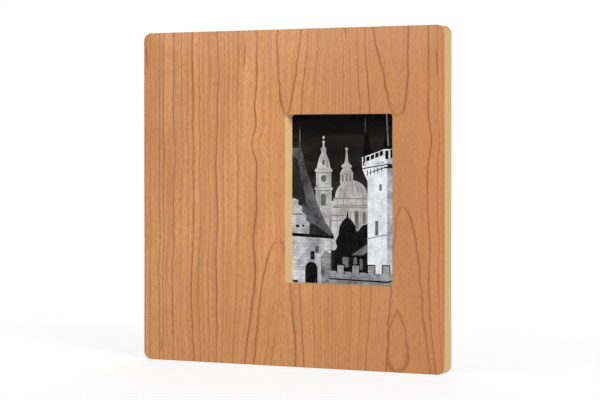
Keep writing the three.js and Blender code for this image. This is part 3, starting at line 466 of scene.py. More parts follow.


# painted shade: this tone darkens the ply on the panel's outer edges
EDGE_SHADE = (0.61, 0.57, 0.51, 1)
# painted shade: this tone darkens the window's ply sides toward the bottom
WINDOW_SHADE = (0.77, 0.76, 0.74, 1)
CHERRY = {
    "dark": rgb(181, 122, 67), "light": rgb(191, 134, 79), "heart": rgb(166, 105, 54),
    "streak": rgb(158, 103, 54), "pore": rgb(138, 86, 42), "line": rgb(120, 56, 6), "fleck": rgb(70, 32, 12),
}
FINISH = {
    "cherry_veneer": lacquered_cherry("lacquered_cherry"),
    "plywood": ply_edge(),
    "clear_glass": coated_glass(),
    "black_foam": moulded("closed_cell_foam", (16, 16, 17), (26, 26, 27), 0.85, 0.95, 900.0, 0.6),
    "display_panel": moulded("polariser_film", (10, 11, 13), (14, 15, 18), 0.16, 0.24, 3000.0, 0.03),
    "white_plastic": moulded("white_polycarbonate", (226, 227, 224), (240, 241, 238), 0.4, 0.55,
                             2500.0, 0.15),
    "clear_acrylic": dotted_acrylic(),
    "folded_steel": sheet_metal("zinc_sheet", (158, 160, 163), (192, 194, 196)),
    "tinned_steel": sheet_metal("tin_plate", (184, 186, 188), (212, 214, 216), 0.08),
    "circuit_board": solder_mask(),
    "chip_plastic": moulded("chip_epoxy", (22, 23, 24), (36, 37, 39), 0.5, 0.7, 4000.0, 0.4),
    "black_plastic": moulded("textured_black_abs", (24, 25, 27), (33, 34, 37), 0.46, 0.62, 2200.0, 0.45),
    "button_plastic": moulded("satin_black_abs", (18, 19, 20), (27, 28, 30), 0.28, 0.4, 3500.0, 0.1),
    "black_rubber": moulded("moulded_rubber", (17, 17, 18), (30, 30, 31), 0.78, 0.92, 1600.0, 0.35),
    "black_screw": moulded("black_oxide", (28, 28, 30), (52, 52, 56), 0.3, 0.45, 3000.0, 0.12, Metallic=1.0),
    "zinc_screw": sheet_metal("bright_zinc", (170, 172, 174), (205, 207, 209), 0.1),
    "card_plastic": moulded("card_shell", (30, 42, 72), (42, 56, 90), 0.4, 0.52, 3000.0, 0.2),
    "flat_cable": ribbon_film(),
    "speaker_cone": pressed_cone(),
    "printed_grey": moulded("printed_grey", (150, 151, 153), (176, 177, 178), 0.55, 0.7, 3000.0, 0.05),
}


def finish_cad_nodes():
    """Every carried-over node takes the finish of its slot."""
    for row in frame["record"]["subparts"]:
        mesh = frame["nodes"][row["node"]].data
        mesh.materials.clear()
        mesh.materials.append(FINISH[row["material_slot"]])


finish_cad_nodes()
SLOT_OF = {row["node"]: row["material_slot"] for row in frame["record"]["subparts"]}
BODY_OF = {n: body for body, nodes in frame["record"]["behaviour"]["bodies"].items() for n in nodes}


# ---- mesh helpers
def finish_piece(bm, name, slot, body, replaces=(), materials=None, sharp=32):
    """Turns a bmesh into a piece: smooth faces with sharp edges, its finish, and the body it rides on."""
    bmesh.ops.recalc_face_normals(bm, faces=bm.faces)
    mesh = bpy.data.meshes.new(name)
    bm.to_mesh(mesh)
    bm.free()
    for polygon in mesh.polygons:
        polygon.use_smooth = True
    mesh.set_sharp_from_angle(angle=math.radians(sharp))
    for material in materials or [FINISH[slot]]:
        mesh.materials.append(material)
    piece = bpy.data.objects.new(name, mesh)
    bpy.context.scene.collection.objects.link(piece)
    if replaces:
        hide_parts(*replaces)
    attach(piece, body)
    return piece


def round_corners(centre_x, centre_z, width, height, radius, y):
    """The points round a rectangle with round corners that stands at depth y."""
    points = []
    for turn, (side, rise) in enumerate(((1, 1), (-1, 1), (-1, -1), (1, -1))):
        middle = (centre_x + side * (width / 2 - radius), centre_z + rise * (height / 2 - radius))
        points += [(u, y, v) for u, v in arc(middle, (radius, radius), 90 * turn, 90 * turn + 90, 8)]
    return points


def arc(middle, reach, start, end, steps=10):
    """Points along part of an ellipse, from one angle to another in degrees."""
    turns = [math.radians(start + (end - start) * i / steps) for i in range(steps + 1)]
    return [(middle[0] + reach[0] * math.cos(t), middle[1] + reach[1] * math.sin(t)) for t in turns]


def loft(bm, loops, closed=False):
    """Quads between neighbouring loops of equal counts; a closed loft also joins the last to the first."""
    rings = [[bm.verts.new(point) for point in loop] for loop in loops]
    for ring, after in zip(rings, rings[1:] + rings[:1] if closed else rings[1:]):
        for i, corner in enumerate(ring):
            j = (i + 1) % len(ring)
            bm.faces.new((corner, ring[j], after[j], after[i]))
    return rings


def thicken(bm, faces, depth):
    """Turns flat faces into a slab that reaches as far along Y as depth says."""
    raised = bmesh.ops.extrude_face_region(bm, geom=faces)["geom"]
    bmesh.ops.translate(bm, verts=[v for v in raised if isinstance(v, bmesh.types.BMVert)], vec=(0, depth, 0))


def panel_edge(inset, y):
    """The outline of the panel, drawn in by an inset."""
    side = SIDE - 2 * inset
    return round_corners(0, (PANEL_LOW.z + PANEL_HIGH.z) / 2, side, side, CORNER - inset, y)


def window_edge(grow, y):
    """The outline of the picture window, drawn out by a margin."""
    return round_corners(WIN_X, WIN_Z, WIN_WIDTH + 2 * grow, WIN_HEIGHT + 2 * grow,
                         WIN_CORNER + min(grow, EASE), y)


def eased(edge, inset, y, reach):
    """Loops that round an edge over, from the side of a sheet to its face at depth y."""
    sign = 1 if y > 0 else -1
    return [edge(inset + reach * (1 - math.cos(t)), y - sign * reach * (1 - math.sin(t)))
            for t in map(math.radians, (0, 30, 60, 90))]


def refined(node, name=None, width=0.2, segments=2):
    """A finer stand-in for a CAD node: its triangles merged into flat faces and its edges rounded."""
    bm = bmesh.new()
    bm.from_mesh(frame["nodes"][node].data)
    bmesh.ops.remove_doubles(bm, verts=bm.verts, dist=1e-6)
    bmesh.ops.dissolve_limit(bm, angle_limit=math.radians(0.5), verts=bm.verts, edges=bm.edges)
    piece = finish_piece(bm, name or node + "_fine", SLOT_OF[node], BODY_OF[node], [node], sharp=35)
    round_edges(piece, width * MM, segments)


def round_edges(piece, width, segments):
    """Rounds every edge that turns by more than 28 degrees."""
    bevel = piece.modifiers.new("rounded_edges", "BEVEL")
    bevel.width = width
    bevel.segments = segments
    bevel.limit_method = "ANGLE"
    bevel.angle_limit = math.radians(28)
    bevel.harden_normals = True


# ---- the panel
EASE = 0.45 * MM  # how far the veneers' arrises are sanded over
LAP = 0.1 * MM  # the veneers reach this far to the core, so that no gap shows between them
GLASS_PLAY, GLASS_BED = 0.3 * MM, 0.2 * MM  # room round the glass in its rebate, and in front of it


def wooden_panel():
    """A plywood core between two cherry veneers; a rebate at the back of the window takes the glass."""
    inset = FACE_LOW.x - PANEL_LOW.x
    margin = WIN_LEFT - GLASS_LEFT + GLASS_PLAY
    floor = GLASS_FRONT - GLASS_BED

    face = bmesh.new()
    back = FACE_HIGH.y + LAP
    outside = eased(panel_edge, inset, FACE_LOW.y, EASE)
    inside = eased(window_edge, 0, FACE_LOW.y, 0.55 * EASE)
    loft(face, [panel_edge(inset, back)] + outside + inside[::-1] + [window_edge(0, back)], closed=True)
    finish_piece(face, "cherry_face", "cherry_veneer", "frame", ["front_veneer"])

    core = bmesh.new()
    front, rear_face = FACE_HIGH.y, BACK_LOW.y
    loft(core, [panel_edge(0, front), panel_edge(0, rear_face), window_edge(margin, rear_face),
                window_edge(margin, floor), window_edge(0, floor), window_edge(0, front)], closed=True)
    finish_piece(core, "ply_core", "plywood", "frame", ["plywood_core"])

    rear_sheet = bmesh.new()
    outside = eased(panel_edge, inset, BACK_HIGH.y, EASE)
    loft(rear_sheet, [panel_edge(inset, BACK_LOW.y - LAP)] + outside
         + [window_edge(margin, BACK_HIGH.y), window_edge(margin, BACK_LOW.y - LAP)], closed=True)
    finish_piece(rear_sheet, "cherry_back", "cherry_veneer", "frame", ["back_veneer"])


wooden_panel()

# ---- the picture on the display
# A made-up old town at night, in greys. Its silhouettes are thin sheets in front of the display's cell, each
# drawn in mm from the window's lower left corner.
SHEET = 0.05 * MM
PICTURE_EDGE = 2  # how far the picture runs on past the window, in mm
RIGHT, TOP = WIN_WIDTH / MM + PICTURE_EDGE, WIN_HEIGHT / MM + PICTURE_EDGE
LEFT, LOW = -PICTURE_EDGE, -PICTURE_EDGE


SELF_LIT = {"Base_Color": (0, 0, 0, 1), "Roughness": 0.4, "Specular_IOR_Level": 0.0, "Emission_Strength": 1.0}


def grey(level, cool=0):
    return rgb(level, level + cool * 0.4, level + cool)


def lit_surface(name, dark, light, course=0.0, patch=60.0, contrast=0.5):
    """A self-lit grey with soft patches and, where course is given in mm, rows of stone blocks."""
    material, g, shader = new_material("picture_" + name, **SELF_LIT)
    point = g.object_point()
    soft = g.noise(point, (patch, 1, patch), 3, 0.65)
    fine = g.noise(point, (900, 1, 900), 2, 0.6)
    amount = g.times(g.minus(fine, 0.5), contrast, soft)
    color = g.mix(g.ramp(amount, 0.32, 0.68), grey(*dark), grey(*light))
    if course:
        x, _, z = g.xyz(point)
        flat = g.fill(g.add("ShaderNodeCombineXYZ"), X=x, Y=z)[0]
        blocks = g.fill(g.add("ShaderNodeTexBrick"), Vector=flat, Scale=1.0, Mortar_Size=0.12 * MM,
                        Mortar_Smooth=0.6, Bias=0.0, Brick_Width=course * 2.3 * MM, Row_Height=course * MM,
                        Color1=(1, 1, 1, 1), Color2=(0.72, 0.72, 0.73, 1), Mortar=(0.45, 0.45, 0.46, 1))
        color = g.mix(1.0, color, blocks["Color"], "MULTIPLY")
    g.feed(shader["Emission Color"], color)
    return material


def night_sky():
    """Black at the top, with faint long clouds lower down."""
    material, g, shader = new_material("night_sky", **SELF_LIT)
    point = g.object_point()
    _, _, z = g.xyz(point)
    cloud = g.noise(point, (13, 1, 75), 3, 0.55, 0.4)
    low = g.ramp(z, WIN_HIGH - 38 * MM, WIN_HIGH + 4 * MM, 1.0, 0.0)
    amount = g.times(g.ramp(cloud, 0.3, 0.7, 0.35, 1.0), low)
    g.feed(shader["Emission Color"], g.mix(amount, rgb(5, 5, 6), rgb(46, 41, 38)))
    return material


def block(left, low, right, high):
    return [(left, low), (right, low), (right, high), (left, high)]


def arched(left, low, right, high):
    """An opening with a round head."""
    radius = (right - left) / 2
    return [(left, low), (right, low)] + arc(((left + right) / 2, high - radius), (radius, radius), 0, 180)


def symmetric(middle, half_profile):
    """An outline that is the same on both sides of an upright line; the half is given from the bottom up."""
    return [(middle - w, v) for w, v in half_profile][::-1] + [(middle + w, v) for w, v in half_profile]


def silhouettes(name, material, layer, outlines):
    """Closed sheets of one tone; a higher layer stands in front of a lower one."""
    bm = bmesh.new()
    back = CELL_FRONT - 0.02 * MM - layer * SHEET
    for points in outlines:
        corners = [bm.verts.new((WIN_LEFT + u * MM, back, WIN_LOW + v * MM)) for u, v in points]
        thicken(bm, [bm.faces.new(corners)], -0.8 * SHEET)
    finish_piece(bm, "picture_" + name, "display_panel", "frame", materials=[material], sharp=20)


def picture():
    pale = lit_surface("pale_stone", (150, -6), (206, -6), patch=70, contrast=0.7)
    bright = lit_surface("bright_stone", (205, 2), (246, 3), patch=90, contrast=0.9)
    shaded = lit_surface("shaded_stone", (150, 14), (206, 18), course=2.6)
    ashlar = lit_surface("block_wall", (150,), (238,), course=3.0, patch=42, contrast=0.6)
    rampart = lit_surface("rampart", (118,), (176,), course=2.4)
    slate = lit_surface("slate", (58,), (118,), course=1.1, patch=80, contrast=0.9)
    dusk = lit_surface("dusk", (88,), (120,), patch=120)
    weathered = lit_surface("weathered_wall", (66,), (168,), course=3.0, patch=90, contrast=1.2)
    ink = lit_surface("ink", (6, 1), (20, 1), patch=120)
    faint = lit_surface("faint", (26,), (48,), patch=120)
    moulding = lit_surface("moulding", (124, -4), (160, -4), patch=110)

    silhouettes("sky", night_sky(), 0, [block(LEFT, LOW, RIGHT, TOP)])
    silhouettes("church", pale, 1, church_outlines())
    silhouettes("church_relief", moulding, 2, church_relief())
    silhouettes("church_openings", dusk, 2, church_openings())
    silhouettes("dark_roofs", ink, 3, [
        symmetric(55, [(8.6, 38), (9.0, 46), (8.0, 51), (5.6, 55.4), (2.6, 58.4), (0.9, 59.6), (0.9, 62),
                       (0.1, 65.5)]),
        [(40, 10), (79, 10), (79, 55), (70, 53), (66, 48), (60, 46), (46, 44), (43, 38), (44.5, 33),
         (40.5, 27), (42, 20)],
    ])
    silhouettes("lit_gable", dusk, 4, [[(59, 26), (76, 37), (76, 30), (70, 26)], block(50, 15, 56, 24),
                                       arched(61, 13, 64.5, 24), arched(67, 13, 70, 23)])
    silhouettes("steep_roof", slate, 5, [
        [(LEFT, 44), (LEFT, 122), (8.6, 122), (13, 104), (23.5, 76), (30, 60), (41.5, 43)],
        symmetric(7.0, [(0.9, 122), (0.55, 136), (0.1, 142)]),
    ])
    silhouettes("roof_shadow", faint, 6, [
        [(LEFT, 70), (LEFT, 116), (4.5, 112), (8, 96), (12.5, 78), (13.5, 70)],
        [(16, 44), (18.5, 54), (24, 52), (37, 43.4)],
    ])
    silhouettes("gable_house", ashlar, 7, [
        [(LEFT, 44), (16.5, 44), (16.5, 55), (13.5, 56.5), (13.5, 62), (9.5, 63.5), (9.5, 69), (5.5, 70.5),
         (5.5, 75), (LEFT, 77)],
        [(LEFT, LOW), (38.5, LOW), (38.5, 40.5), (LEFT, 42.5)],
    ])
    silhouettes("house_openings", ink, 8, [
        [(LEFT, 42), (41.5, 40.2), (41.5, 43), (LEFT, 45)], arched(12.5, LOW, 25, 19),
        block(18, 21, 22, 28.5), block(3, 50, 6.5, 52.5), block(9.5, 50.5, 11.5, 52.5),
        block(LEFT, 61.6, 9.5, 62.4), block(LEFT, LOW, 5, 2),
    ])
    silhouettes("keep", bright, 7, keep_outlines())
    silhouettes("keep_shade", shaded, 8, [[(94, 6), (RIGHT, 6), (RIGHT, 105), (94, 103.5)],
                                          [(94, 107), (RIGHT, 107), (RIGHT, 113), (94, 113)]])
    silhouettes("keep_openings", ink, 9, keep_openings())
    silhouettes("keep_slits", dusk, 10, [
        block(82.5, 44, 85.5, 57), arched(86.5, 84, 89, 90),
        [(75.4, 40.6), (94, 44.6), (94, 45.3), (75.4, 41.4)],
        [(72.5, 136), (72.9, 136), (72.8, 150), (72.6, 150)],
        [(94.6, 124), (96.0, 124), (94.0, TOP), (92.8, TOP)],
    ])
    silhouettes("house_side", weathered, 8, [[(28.6, LOW), (38.5, LOW), (38.5, 27), (33, 30), (28.6, 24)],
                                             block(22.8, 27, 26.6, 34)])
    silhouettes("rampart", rampart, 9, [[(37, LOW), (RIGHT, LOW), (RIGHT, 9), (37, 11.5)]]
                + [block(u, 9, u + 6.4, 16.5) for u in MERLONS])
    silhouettes("rampart_gaps", ink, 10, rampart_gaps())


MERLONS = (45, 60, 75.5, 90)  # left sides of the raised blocks on the rampart, in mm


def rampart_gaps():
    ledges = [[(37, 3.6), (97, 1.8), (97, 3.2), (37, 4.8)], [(96, 3), (RIGHT, 3.4), (RIGHT, 4.2), (96, 4.2)]]
    hoods = [[(u - 1, 9.6), (u, 9.6), (u, 16.6), (u + 6.4, 16.6), (u + 6.4, 9.2), (u + 7.3, 9.2),
              (u + 7.3, 17.8), (u - 1, 17.8)] for u in MERLONS]
    return ledges + hoods


def church_outlines():
    tower = symmetric(31, [
        (8.0, 36), (8.0, 84), (9.2, 84.6), (9.2, 86), (7.6, 87), (7.6, 100), (8.8, 101), (8.8, 102.6),
        (6.6, 104), (6.2, 107), (4.8, 112), (3.4, 115.5), (2.4, 117), (2.4, 120.5), (3.0, 121.2),
        (1.0, 123), (0.5, 126.5),
    ])
    ball = arc((31, 127.4), (1.3, 1.3), -90, 250, 12)
    cap = arc((31, 131.6), (1.0, 1.5), -90, 250, 10)
    dome = [(41, 73), (76, 73), (76, 77)] + arc((59, 77), (16.6, 16.2), 0, 180, 16) + [(41, 77)]
    lantern = symmetric(54, [
        (6.6, 90), (6.2, 98), (6.8, 99), (5.0, 102), (3.6, 104), (5.0, 105), (5.2, 106.4), (2.4, 108.4),
        (1.5, 111), (1.0, 116), (0.4, 119.5),
    ])
    orb = arc((54, 121), (1.5, 1.5), -90, 250, 12)
    return [tower, ball, cap, dome, lantern, orb, block(20, 30, 78, 74.4), block(22, 66.5, 78, 68)]


def church_relief():
    """Shaded mouldings: pilasters, ledges and the sides of the lantern and the nave."""
    pilasters = [block(u, low, u + 0.7, high) for u, low, high in (
        (24.6, 61, 83), (26.6, 61, 83), (35.2, 61, 83), (37.2, 61, 83), (25.0, 88, 99), (36.4, 88, 99),
        (49.4, 91, 98), (58.2, 91, 98), (44.5, 44, 66), (57.6, 44, 66), (67.6, 44, 66), (44.5, 71, 76),
        (50.5, 71, 76), (63.5, 71, 76), (70, 71, 76))]
    ledges = [block(23, 60, 39, 61), block(23.6, 86.2, 38.4, 86.9), block(24.4, 102.7, 37.6, 103.4),
              block(40, 68.2, 78, 69.6), block(48.2, 98.4, 59.8, 99.1), block(49.4, 104.6, 58.6, 105.1)]
    shades = [[(36.6, 36), (39, 36), (39, 60), (36.6, 60)], [(74.5, 78), (76, 78), (74, 85), (72.2, 87)],
              [(33.6, 104.4), (36.6, 104), (35.6, 110), (33.8, 113.6)], block(74, 40, 77, 66)]
    return pilasters + ledges + shades


def church_openings():
    tower = [arched(28.2, 70, 33.4, 81), arc((31, 94.5), (2.8, 3.0), -90, 250, 14),
             arched(29.4, 107, 32.4, 111.5), arched(27.6, 44, 33.2, 56), block(23.2, 83.4, 38.8, 84),
             block(23.4, 99.6, 38.6, 100.2)]
    drum = [block(42, 76.2, 75.5, 76.9), block(42, 70.4, 75.5, 71.0)]
    ribs = [[(59 + 15.4 * t - 0.25, 78), (59 + 15.4 * t + 0.25, 78), (59 + 7.6 * t + 0.2, 92),
             (59 + 7.6 * t - 0.2, 92)] for t in (-0.85, -0.5, 0.1, 0.5, 0.85)]
    gaps = [arched(54 + u - 0.8, 92, 54 + u + 0.8, 98) for u in (-3.8, 0, 3.8)]
    nave = [arched(62, 50, 66, 66), arched(70, 54, 73, 65), block(38, 61, 52, 61.6), block(38, 56.4, 56, 57.0)]
    return tower + drum + ribs + gaps + nave


RAKE_FROM = 70  # the keep's sloping heights are given where they cross this upright line, in mm


def raked(lefts, width, feet, heads, foot_slope, head_slope):
    """Slabs in a row whose feet and heads climb to the right; each has its own left and right heights."""
    slabs = []
    for u in lefts:
        foot, head = (u - RAKE_FROM) * foot_slope, (u - RAKE_FROM) * head_slope
        slabs.append([(u, feet[0] + foot), (u + width, feet[1] + foot), (u + width, heads[1] + head),
                      (u, heads[0] + head)])
    return slabs


def keep_outlines():
    body = [(75, 6), (94.4, 6), (94.4, 104), (91, 104), (75, 99)]
    corbel = [(69.6, 103.4), (75, 92), (76, 92), (76, 100), (94.4, 106), (94.4, 107.4), (69.6, 105)]
    parapet = [(69.6, 105.6), (91, 109), (91, 121), (108.4, 121), (108.4, 107.4), (94.4, 107.4), (69.6, 104)]
    battlement = [(69.6, 105), (92, 110), (92, 116.4), (69.6, 108.4)]
    rail = [(72.4, 113.4), (92, 120.4), (92, 121.2), (72.4, 114.4)]
    posts = raked((72.6, 77, 81.4, 85.8, 90), 0.9, (108, 108), (113.4, 113.8), 0.36, 0.36)
    return [body, corbel, parapet, battlement, rail] + posts + [block(69.4, 109, 70.6, 114)]


def keep_openings():
    cones = [[(71.0, 114.5), (79.5, 117.5), (75.2, 136), (73.6, TOP), (73.0, TOP)],
             [(90.4, 121.5), (99, 122.5), (95.6, 140), (94.2, TOP), (93.6, TOP)]]
    bays = raked((73.8, 78.2, 82.6, 87.0), 3.0, (109.4, 110.4), (112.7, 113.6), 0.36, 0.36)
    hatches = raked((92.4, 97.2, 102.0), 3.0, (107.4, 108.0), (115.0, 115.6), 0.2, 0.2)
    corbels = raked((74.4, 77.6, 81, 84.6, 88.4), 0.8, (95.6, 95.9), (101.4, 101.6), 0.3, 0.2)
    drip = [(69.6, 103.0), (94, 107.0), (RIGHT, 106.2), (RIGHT, 107.2), (94, 108.0), (69.6, 104.0)]
    return cones + bays + hatches + corbels + [drip, block(70.6, 106.2, 71.8, 110.4)]


picture()


# ---- the back
COVER_WALL = 2.2 * MM


def turned(profile, x, z):
    """A closed shape turned about a line that runs front to back; the profile gives radius and depth."""
    bm = bmesh.new()
    verts = [bm.verts.new((x + radius, y, z)) for radius, y in profile]
    edges = [bm.edges.new(pair) for pair in zip(verts, verts[1:])]
    bmesh.ops.spin(bm, geom=verts + edges, cent=(x, 0, z), axis=(0, 1, 0), angle=math.tau, steps=40,
                   use_merge=True)
    bmesh.ops.remove_doubles(bm, verts=bm.verts, dist=1e-6)
    return bm


def middle_of(node):
    low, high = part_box(node)
    return (low + high) / 2


def rounded_rim(radius, face, round_off):
    """The part of a profile that turns from a side to a flat end."""
    return [(radius - round_off * (1 - math.cos(t)), face - round_off * (1 - math.sin(t)))
            for t in map(math.radians, (0, 22.5, 45, 67.5, 90))]


def button(node):
    """A satin cap with a dished face; a flange keeps it behind the cover, a stem reaches the switch."""
    low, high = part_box(node)
    middle = middle_of(node)
    stem, flange, cap = 1.5 * MM, 5 * MM, 4 * MM
    flange_back = BACK_FACE - COVER_WALL - 0.3 * MM
    profile = [(0, low.y), (stem, low.y), (stem, flange_back - 1 * MM), (flange, flange_back - 1 * MM),
               (flange, flange_back), (cap, flange_back)]
    profile += rounded_rim(cap, high.y, 0.45 * MM)
    profile += [(3.1 * MM, high.y), (2.6 * MM, high.y - 0.18 * MM), (1.5 * MM, high.y - 0.36 * MM),
                (0, high.y - 0.42 * MM)]
    finish_piece(turned(profile, middle.x, middle.z), node + "_cap", SLOT_OF[node], BODY_OF[node], [node])


def bumper(node):
    """A soft stud with a rounded rim and a shallow ring in its face."""
    low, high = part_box(node)
    middle = middle_of(node)
    radius = (high.x - low.x) / 2
    profile = [(0, low.y), (radius, low.y)] + rounded_rim(radius, high.y, 0.7 * MM)
    profile += [(4.2 * MM, high.y), (3.9 * MM, high.y - 0.3 * MM), (3.3 * MM, high.y - 0.3 * MM),
                (3.0 * MM, high.y - 0.02 * MM), (0, high.y)]
    finish_piece(turned(profile, middle.x, middle.z), node + "_stud", SLOT_OF[node], BODY_OF[node], [node])


def hanger_plate(node):
    """A steel plate with a keyhole: a round hole for a screw's head, and a slot above it for its neck."""
    low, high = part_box(node)
    middle = middle_of(node)
    head, slot, head_z, slot_z = 4.6 * MM, 2.3 * MM, middle.z - 5 * MM, middle.z + 4 * MM
    lean = math.degrees(math.asin(slot / head))
    keyhole = arc((middle.x, slot_z), (slot, slot), 0, 180, 12)
    keyhole += arc((middle.x, head_z), (head, head), 90 + lean, 450 - lean, 24)
    rim = round_corners(middle.x, middle.z, high.x - low.x, high.z - low.z, 3 * MM, low.y)
    bm = bmesh.new()
    for loop in (rim, [(u, low.y, v) for u, v in keyhole]):
        verts = [bm.verts.new(point) for point in loop]
        for pair in zip(verts, verts[1:] + verts[:1]):
            bm.edges.new(pair)
    bmesh.ops.triangle_fill(bm, use_beauty=True, use_dissolve=False, edges=list(bm.edges))
    thicken(bm, list(bm.faces), high.y - low.y)
    piece = finish_piece(bm, node + "_fine", SLOT_OF[node], BODY_OF[node], [node], sharp=30)
    round_edges(piece, 0.12 * MM, 2)


def hanger_stakes():
    """The plates are held by moulded pegs, melted over into small domes at the plates' corners."""
    bm = bmesh.new()
    for node in ("hanger_plate_left", "hanger_plate_right"):
        low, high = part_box(node)
        for x in (low.x + 3 * MM, high.x - 3 * MM):
            for z in (low.z + 3 * MM, high.z - 3 * MM):
                made = bmesh.ops.create_uvsphere(bm, u_segments=20, v_segments=12, radius=1.5 * MM)
                bmesh.ops.scale(bm, verts=made["verts"], vec=(1, 0.42, 1))
                bmesh.ops.translate(bm, verts=made["verts"], vec=(x, high.y, z))
    finish_piece(bm, "hanger_stakes", "black_plastic", "frame")


def easel_wing():
    """A flat wing with a shallow sunk panel in each side, on a barrel that turns about the upright pin."""
    low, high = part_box("easel_leg")
    joint = next(j for j in frame["joints"] if j["name"] == "leg_hinge")
    hinge_x, hinge_y, _ = joint["pos_m"]
    half, root, foot_rise, shoulder = 2.5 * MM, hinge_y + 4.2 * MM, 24 * MM, 34 * MM
    corners = [(root, low.z), (high.y, low.z), (high.y, low.z + foot_rise), (root + shoulder, high.z),
               (root, high.z)]

    def outline(inset, radius, x):
        """The wing's outline drawn in by an inset, with its corners rounded."""
        points = []
        for i, corner in enumerate(corners):
            here = Vector(corner)
            to_last = (Vector(corners[i - 1]) - here).normalized()
            to_next = (Vector(corners[(i + 1) % len(corners)]) - here).normalized()
            bisector = (to_last + to_next).normalized()
            half_angle = to_last.angle(to_next) / 2
            centre = here + bisector * (inset + radius) / math.sin(half_angle)
            spread = math.pi / 2 - half_angle
            for step in range(7):
                turn = -spread + 2 * spread * step / 6
                ray = -bisector
                points.append((x, centre.x + radius * (ray.x * math.cos(turn) - ray.y * math.sin(turn)),
                               centre.y + radius * (ray.x * math.sin(turn) + ray.y * math.cos(turn))))
        return points

    bm = bmesh.new()
    # inset from the outline and half thickness there, from the sunk panel out to the eased rim, in mm
    sections = [(7.6, 1.9), (7.0, 1.9), (6.5, 2.5), (0.5, 2.5), (0, 2.0)]
    sections = [(inset, -thick) for inset, thick in sections] + sections[::-1]
    rings = loft(bm, [outline(inset * MM, max(4 - inset, 1.2) * MM, hinge_x + thick * MM)
                      for inset, thick in sections])
    bm.faces.new(rings[0])
    bm.faces.new(rings[-1])

    # the barrel between the cover's knuckles, the tongue that joins it to the wing, and the heel
    barrel_low, barrel_high = 70.4 * MM, 125.6 * MM
    barrel = bmesh.ops.create_cone(bm, cap_ends=True, segments=32, radius1=2.9 * MM, radius2=2.9 * MM,
                                   depth=barrel_high - barrel_low)
    middle_z = (barrel_low + barrel_high) / 2
    bmesh.ops.translate(bm, verts=barrel["verts"], vec=(hinge_x, hinge_y, middle_z))
    for x0, x1, y0, y1 in ((-half, half, hinge_y, root + 1 * MM), (-half, 0, low.y, hinge_y)):
        block_size = (x1 - x0, y1 - y0, barrel_high - barrel_low)
        made = bmesh.ops.create_cube(bm, size=1)["verts"]
        bmesh.ops.scale(bm, verts=made, vec=block_size)
        bmesh.ops.translate(bm, verts=made, vec=(hinge_x + (x0 + x1) / 2, (y0 + y1) / 2, middle_z))
    piece = finish_piece(bm, "easel_wing", SLOT_OF["easel_leg"], "leg", ["easel_leg"], sharp=35)
    round_edges(piece, 0.3 * MM, 3)


def button_marks():
    """Plain printed signs beside the buttons: a list, an arrow each way and a square."""
    bm = bmesh.new()

    def sign(points, middle):
        corners = [bm.verts.new((middle.x - 9 * MM + u * MM, BACK_FACE - 0.05 * MM, middle.z + v * MM))
                   for u, v in points]
        thicken(bm, [bm.faces.new(corners)], 0.13 * MM)

    for v in (-1.3, 0, 1.3):
        sign(block(-1.8, v - 0.3, 1.8, v + 0.3), middle_of("menu_button"))
    sign([(1.3, -1.6), (1.3, 1.6), (-1.6, 0)], middle_of("next_button"))
    sign([(-1.3, -1.6), (1.6, 0), (-1.3, 1.6)], middle_of("back_button"))
    sign(block(-1.4, -1.4, 1.4, 1.4), middle_of("enter_button"))
    finish_piece(bm, "button_marks", "white_plastic", "frame", materials=[FINISH["printed_grey"]])


def rear():
    for node in ("menu_button", "next_button", "back_button", "enter_button"):
        button(node)
    for node in ("wall_bumper_left", "wall_bumper_right"):
        bumper(node)
    refined("rear_cover", "moulded_cover", 0.4, 3)
    for node in ("hanger_plate_left", "hanger_plate_right"):
        hanger_plate(node)
    for node in ("usb_socket", "card_socket", "power_inlet"):
        refined(node, width=0.12)
    for node in ("power_slider", "memory_card", "leg_foot"):
        refined(node, width=0.2)
    refined("leg_hinge_pin", width=0.15)
    for i in range(4):
        refined(f"cover_screw_{i + 1}", width=0.1)
    easel_wing()
    hanger_stakes()
    button_marks()


rear()

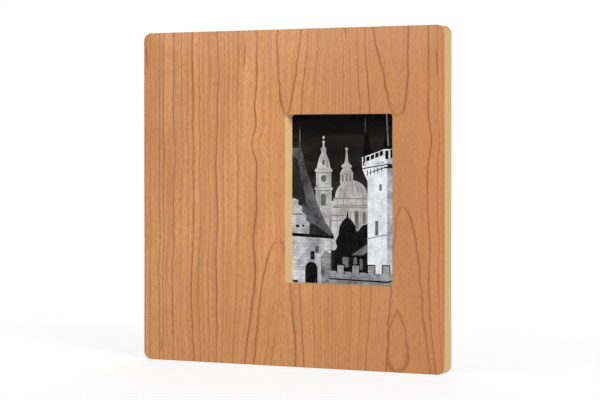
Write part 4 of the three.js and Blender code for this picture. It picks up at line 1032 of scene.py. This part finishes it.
# ---- floor, light and camera
def studio():
    floor_side = 16
    near, far = (0.3, 0.75), (1.6, 1.0)  # a distance from the object in metres, and the paper's glow there
    bpy.ops.mesh.primitive_plane_add(size=floor_side)
    floor = bpy.context.object
    floor.name = "floor"
    material, g, shader = new_material("lit_paper", Roughness=0.9, Specular_IOR_Level=0.0,
                                       Emission_Strength=1.0)
    point = g.object_point()
    tone = g.noise(point, 3.0, 2)
    g.feed(shader["Base Color"], g.mix(tone, (0.22, 0.22, 0.22, 1), (0.24, 0.24, 0.24, 1)))
    away = g.add("ShaderNodeVectorMath", operation="LENGTH")
    g.feed(away.inputs[0], point)
    glow = g.ramp(away.outputs["Value"], near[0], far[0])
    g.feed(shader["Emission Color"], g.mix(glow, (near[1],) * 3 + (1,), (far[1],) * 3 + (1,)))
    floor.data.materials.append(material)

    # the room is white to the eye, and dimmer as a light, so that the lamps shape the object
    world = bpy.data.worlds.new("studio")
    bpy.context.scene.world = world
    world.use_nodes = True
    g = Graph(world.node_tree)
    background = world.node_tree.nodes["Background"].inputs
    background["Color"].default_value = (1, 1, 1, 1)
    seen = g.add("ShaderNodeLightPath").outputs["Is Camera Ray"]
    as_light, as_seen = 0.42, 1.02
    g.feed(background["Strength"], g.ramp(seen, 0, 1, as_light, as_seen, smooth=False))

    def softbox(name, place, target, size, power):
        light = bpy.data.lights.new(name, "AREA")
        light.size = size
        light.energy = power
        lamp = bpy.data.objects.new(name, light)
        lamp.location = place
        lamp.rotation_euler = (Vector(target) - Vector(place)).to_track_quat("-Z", "Y").to_euler()
        bpy.context.scene.collection.objects.link(lamp)

    middle = (0, 0, SIDE / 2)
    softbox("key_light", (3.3, -2.2, 1.45), middle, 1.4, 166)
    softbox("front_fill", (-0.9, -2.0, 1.2), middle, 1.2, 16)
    softbox("rear_fill", (-1.0, 1.9, 1.5), middle, 1.2, 34)


def camera():
    """Looks from the right and nearly level; a shifted lens keeps upright edges upright."""
    focal_length, shift = 120.5, -0.0572
    place, tilt_down, turn = (0.8293, -1.6191, 0.1974), 0.5, 26.91
    lens = bpy.data.cameras.new("view")
    lens.sensor_width = 36
    lens.lens = focal_length
    lens.shift_y = shift
    eye = bpy.data.objects.new("view", lens)
    eye.location = place
    eye.rotation_euler = (math.radians(90 - tilt_down), 0, math.radians(turn))
    bpy.context.scene.collection.objects.link(eye)
    bpy.context.scene.camera = eye
    bpy.context.scene.view_settings.view_transform = "Standard"


studio()
camera()
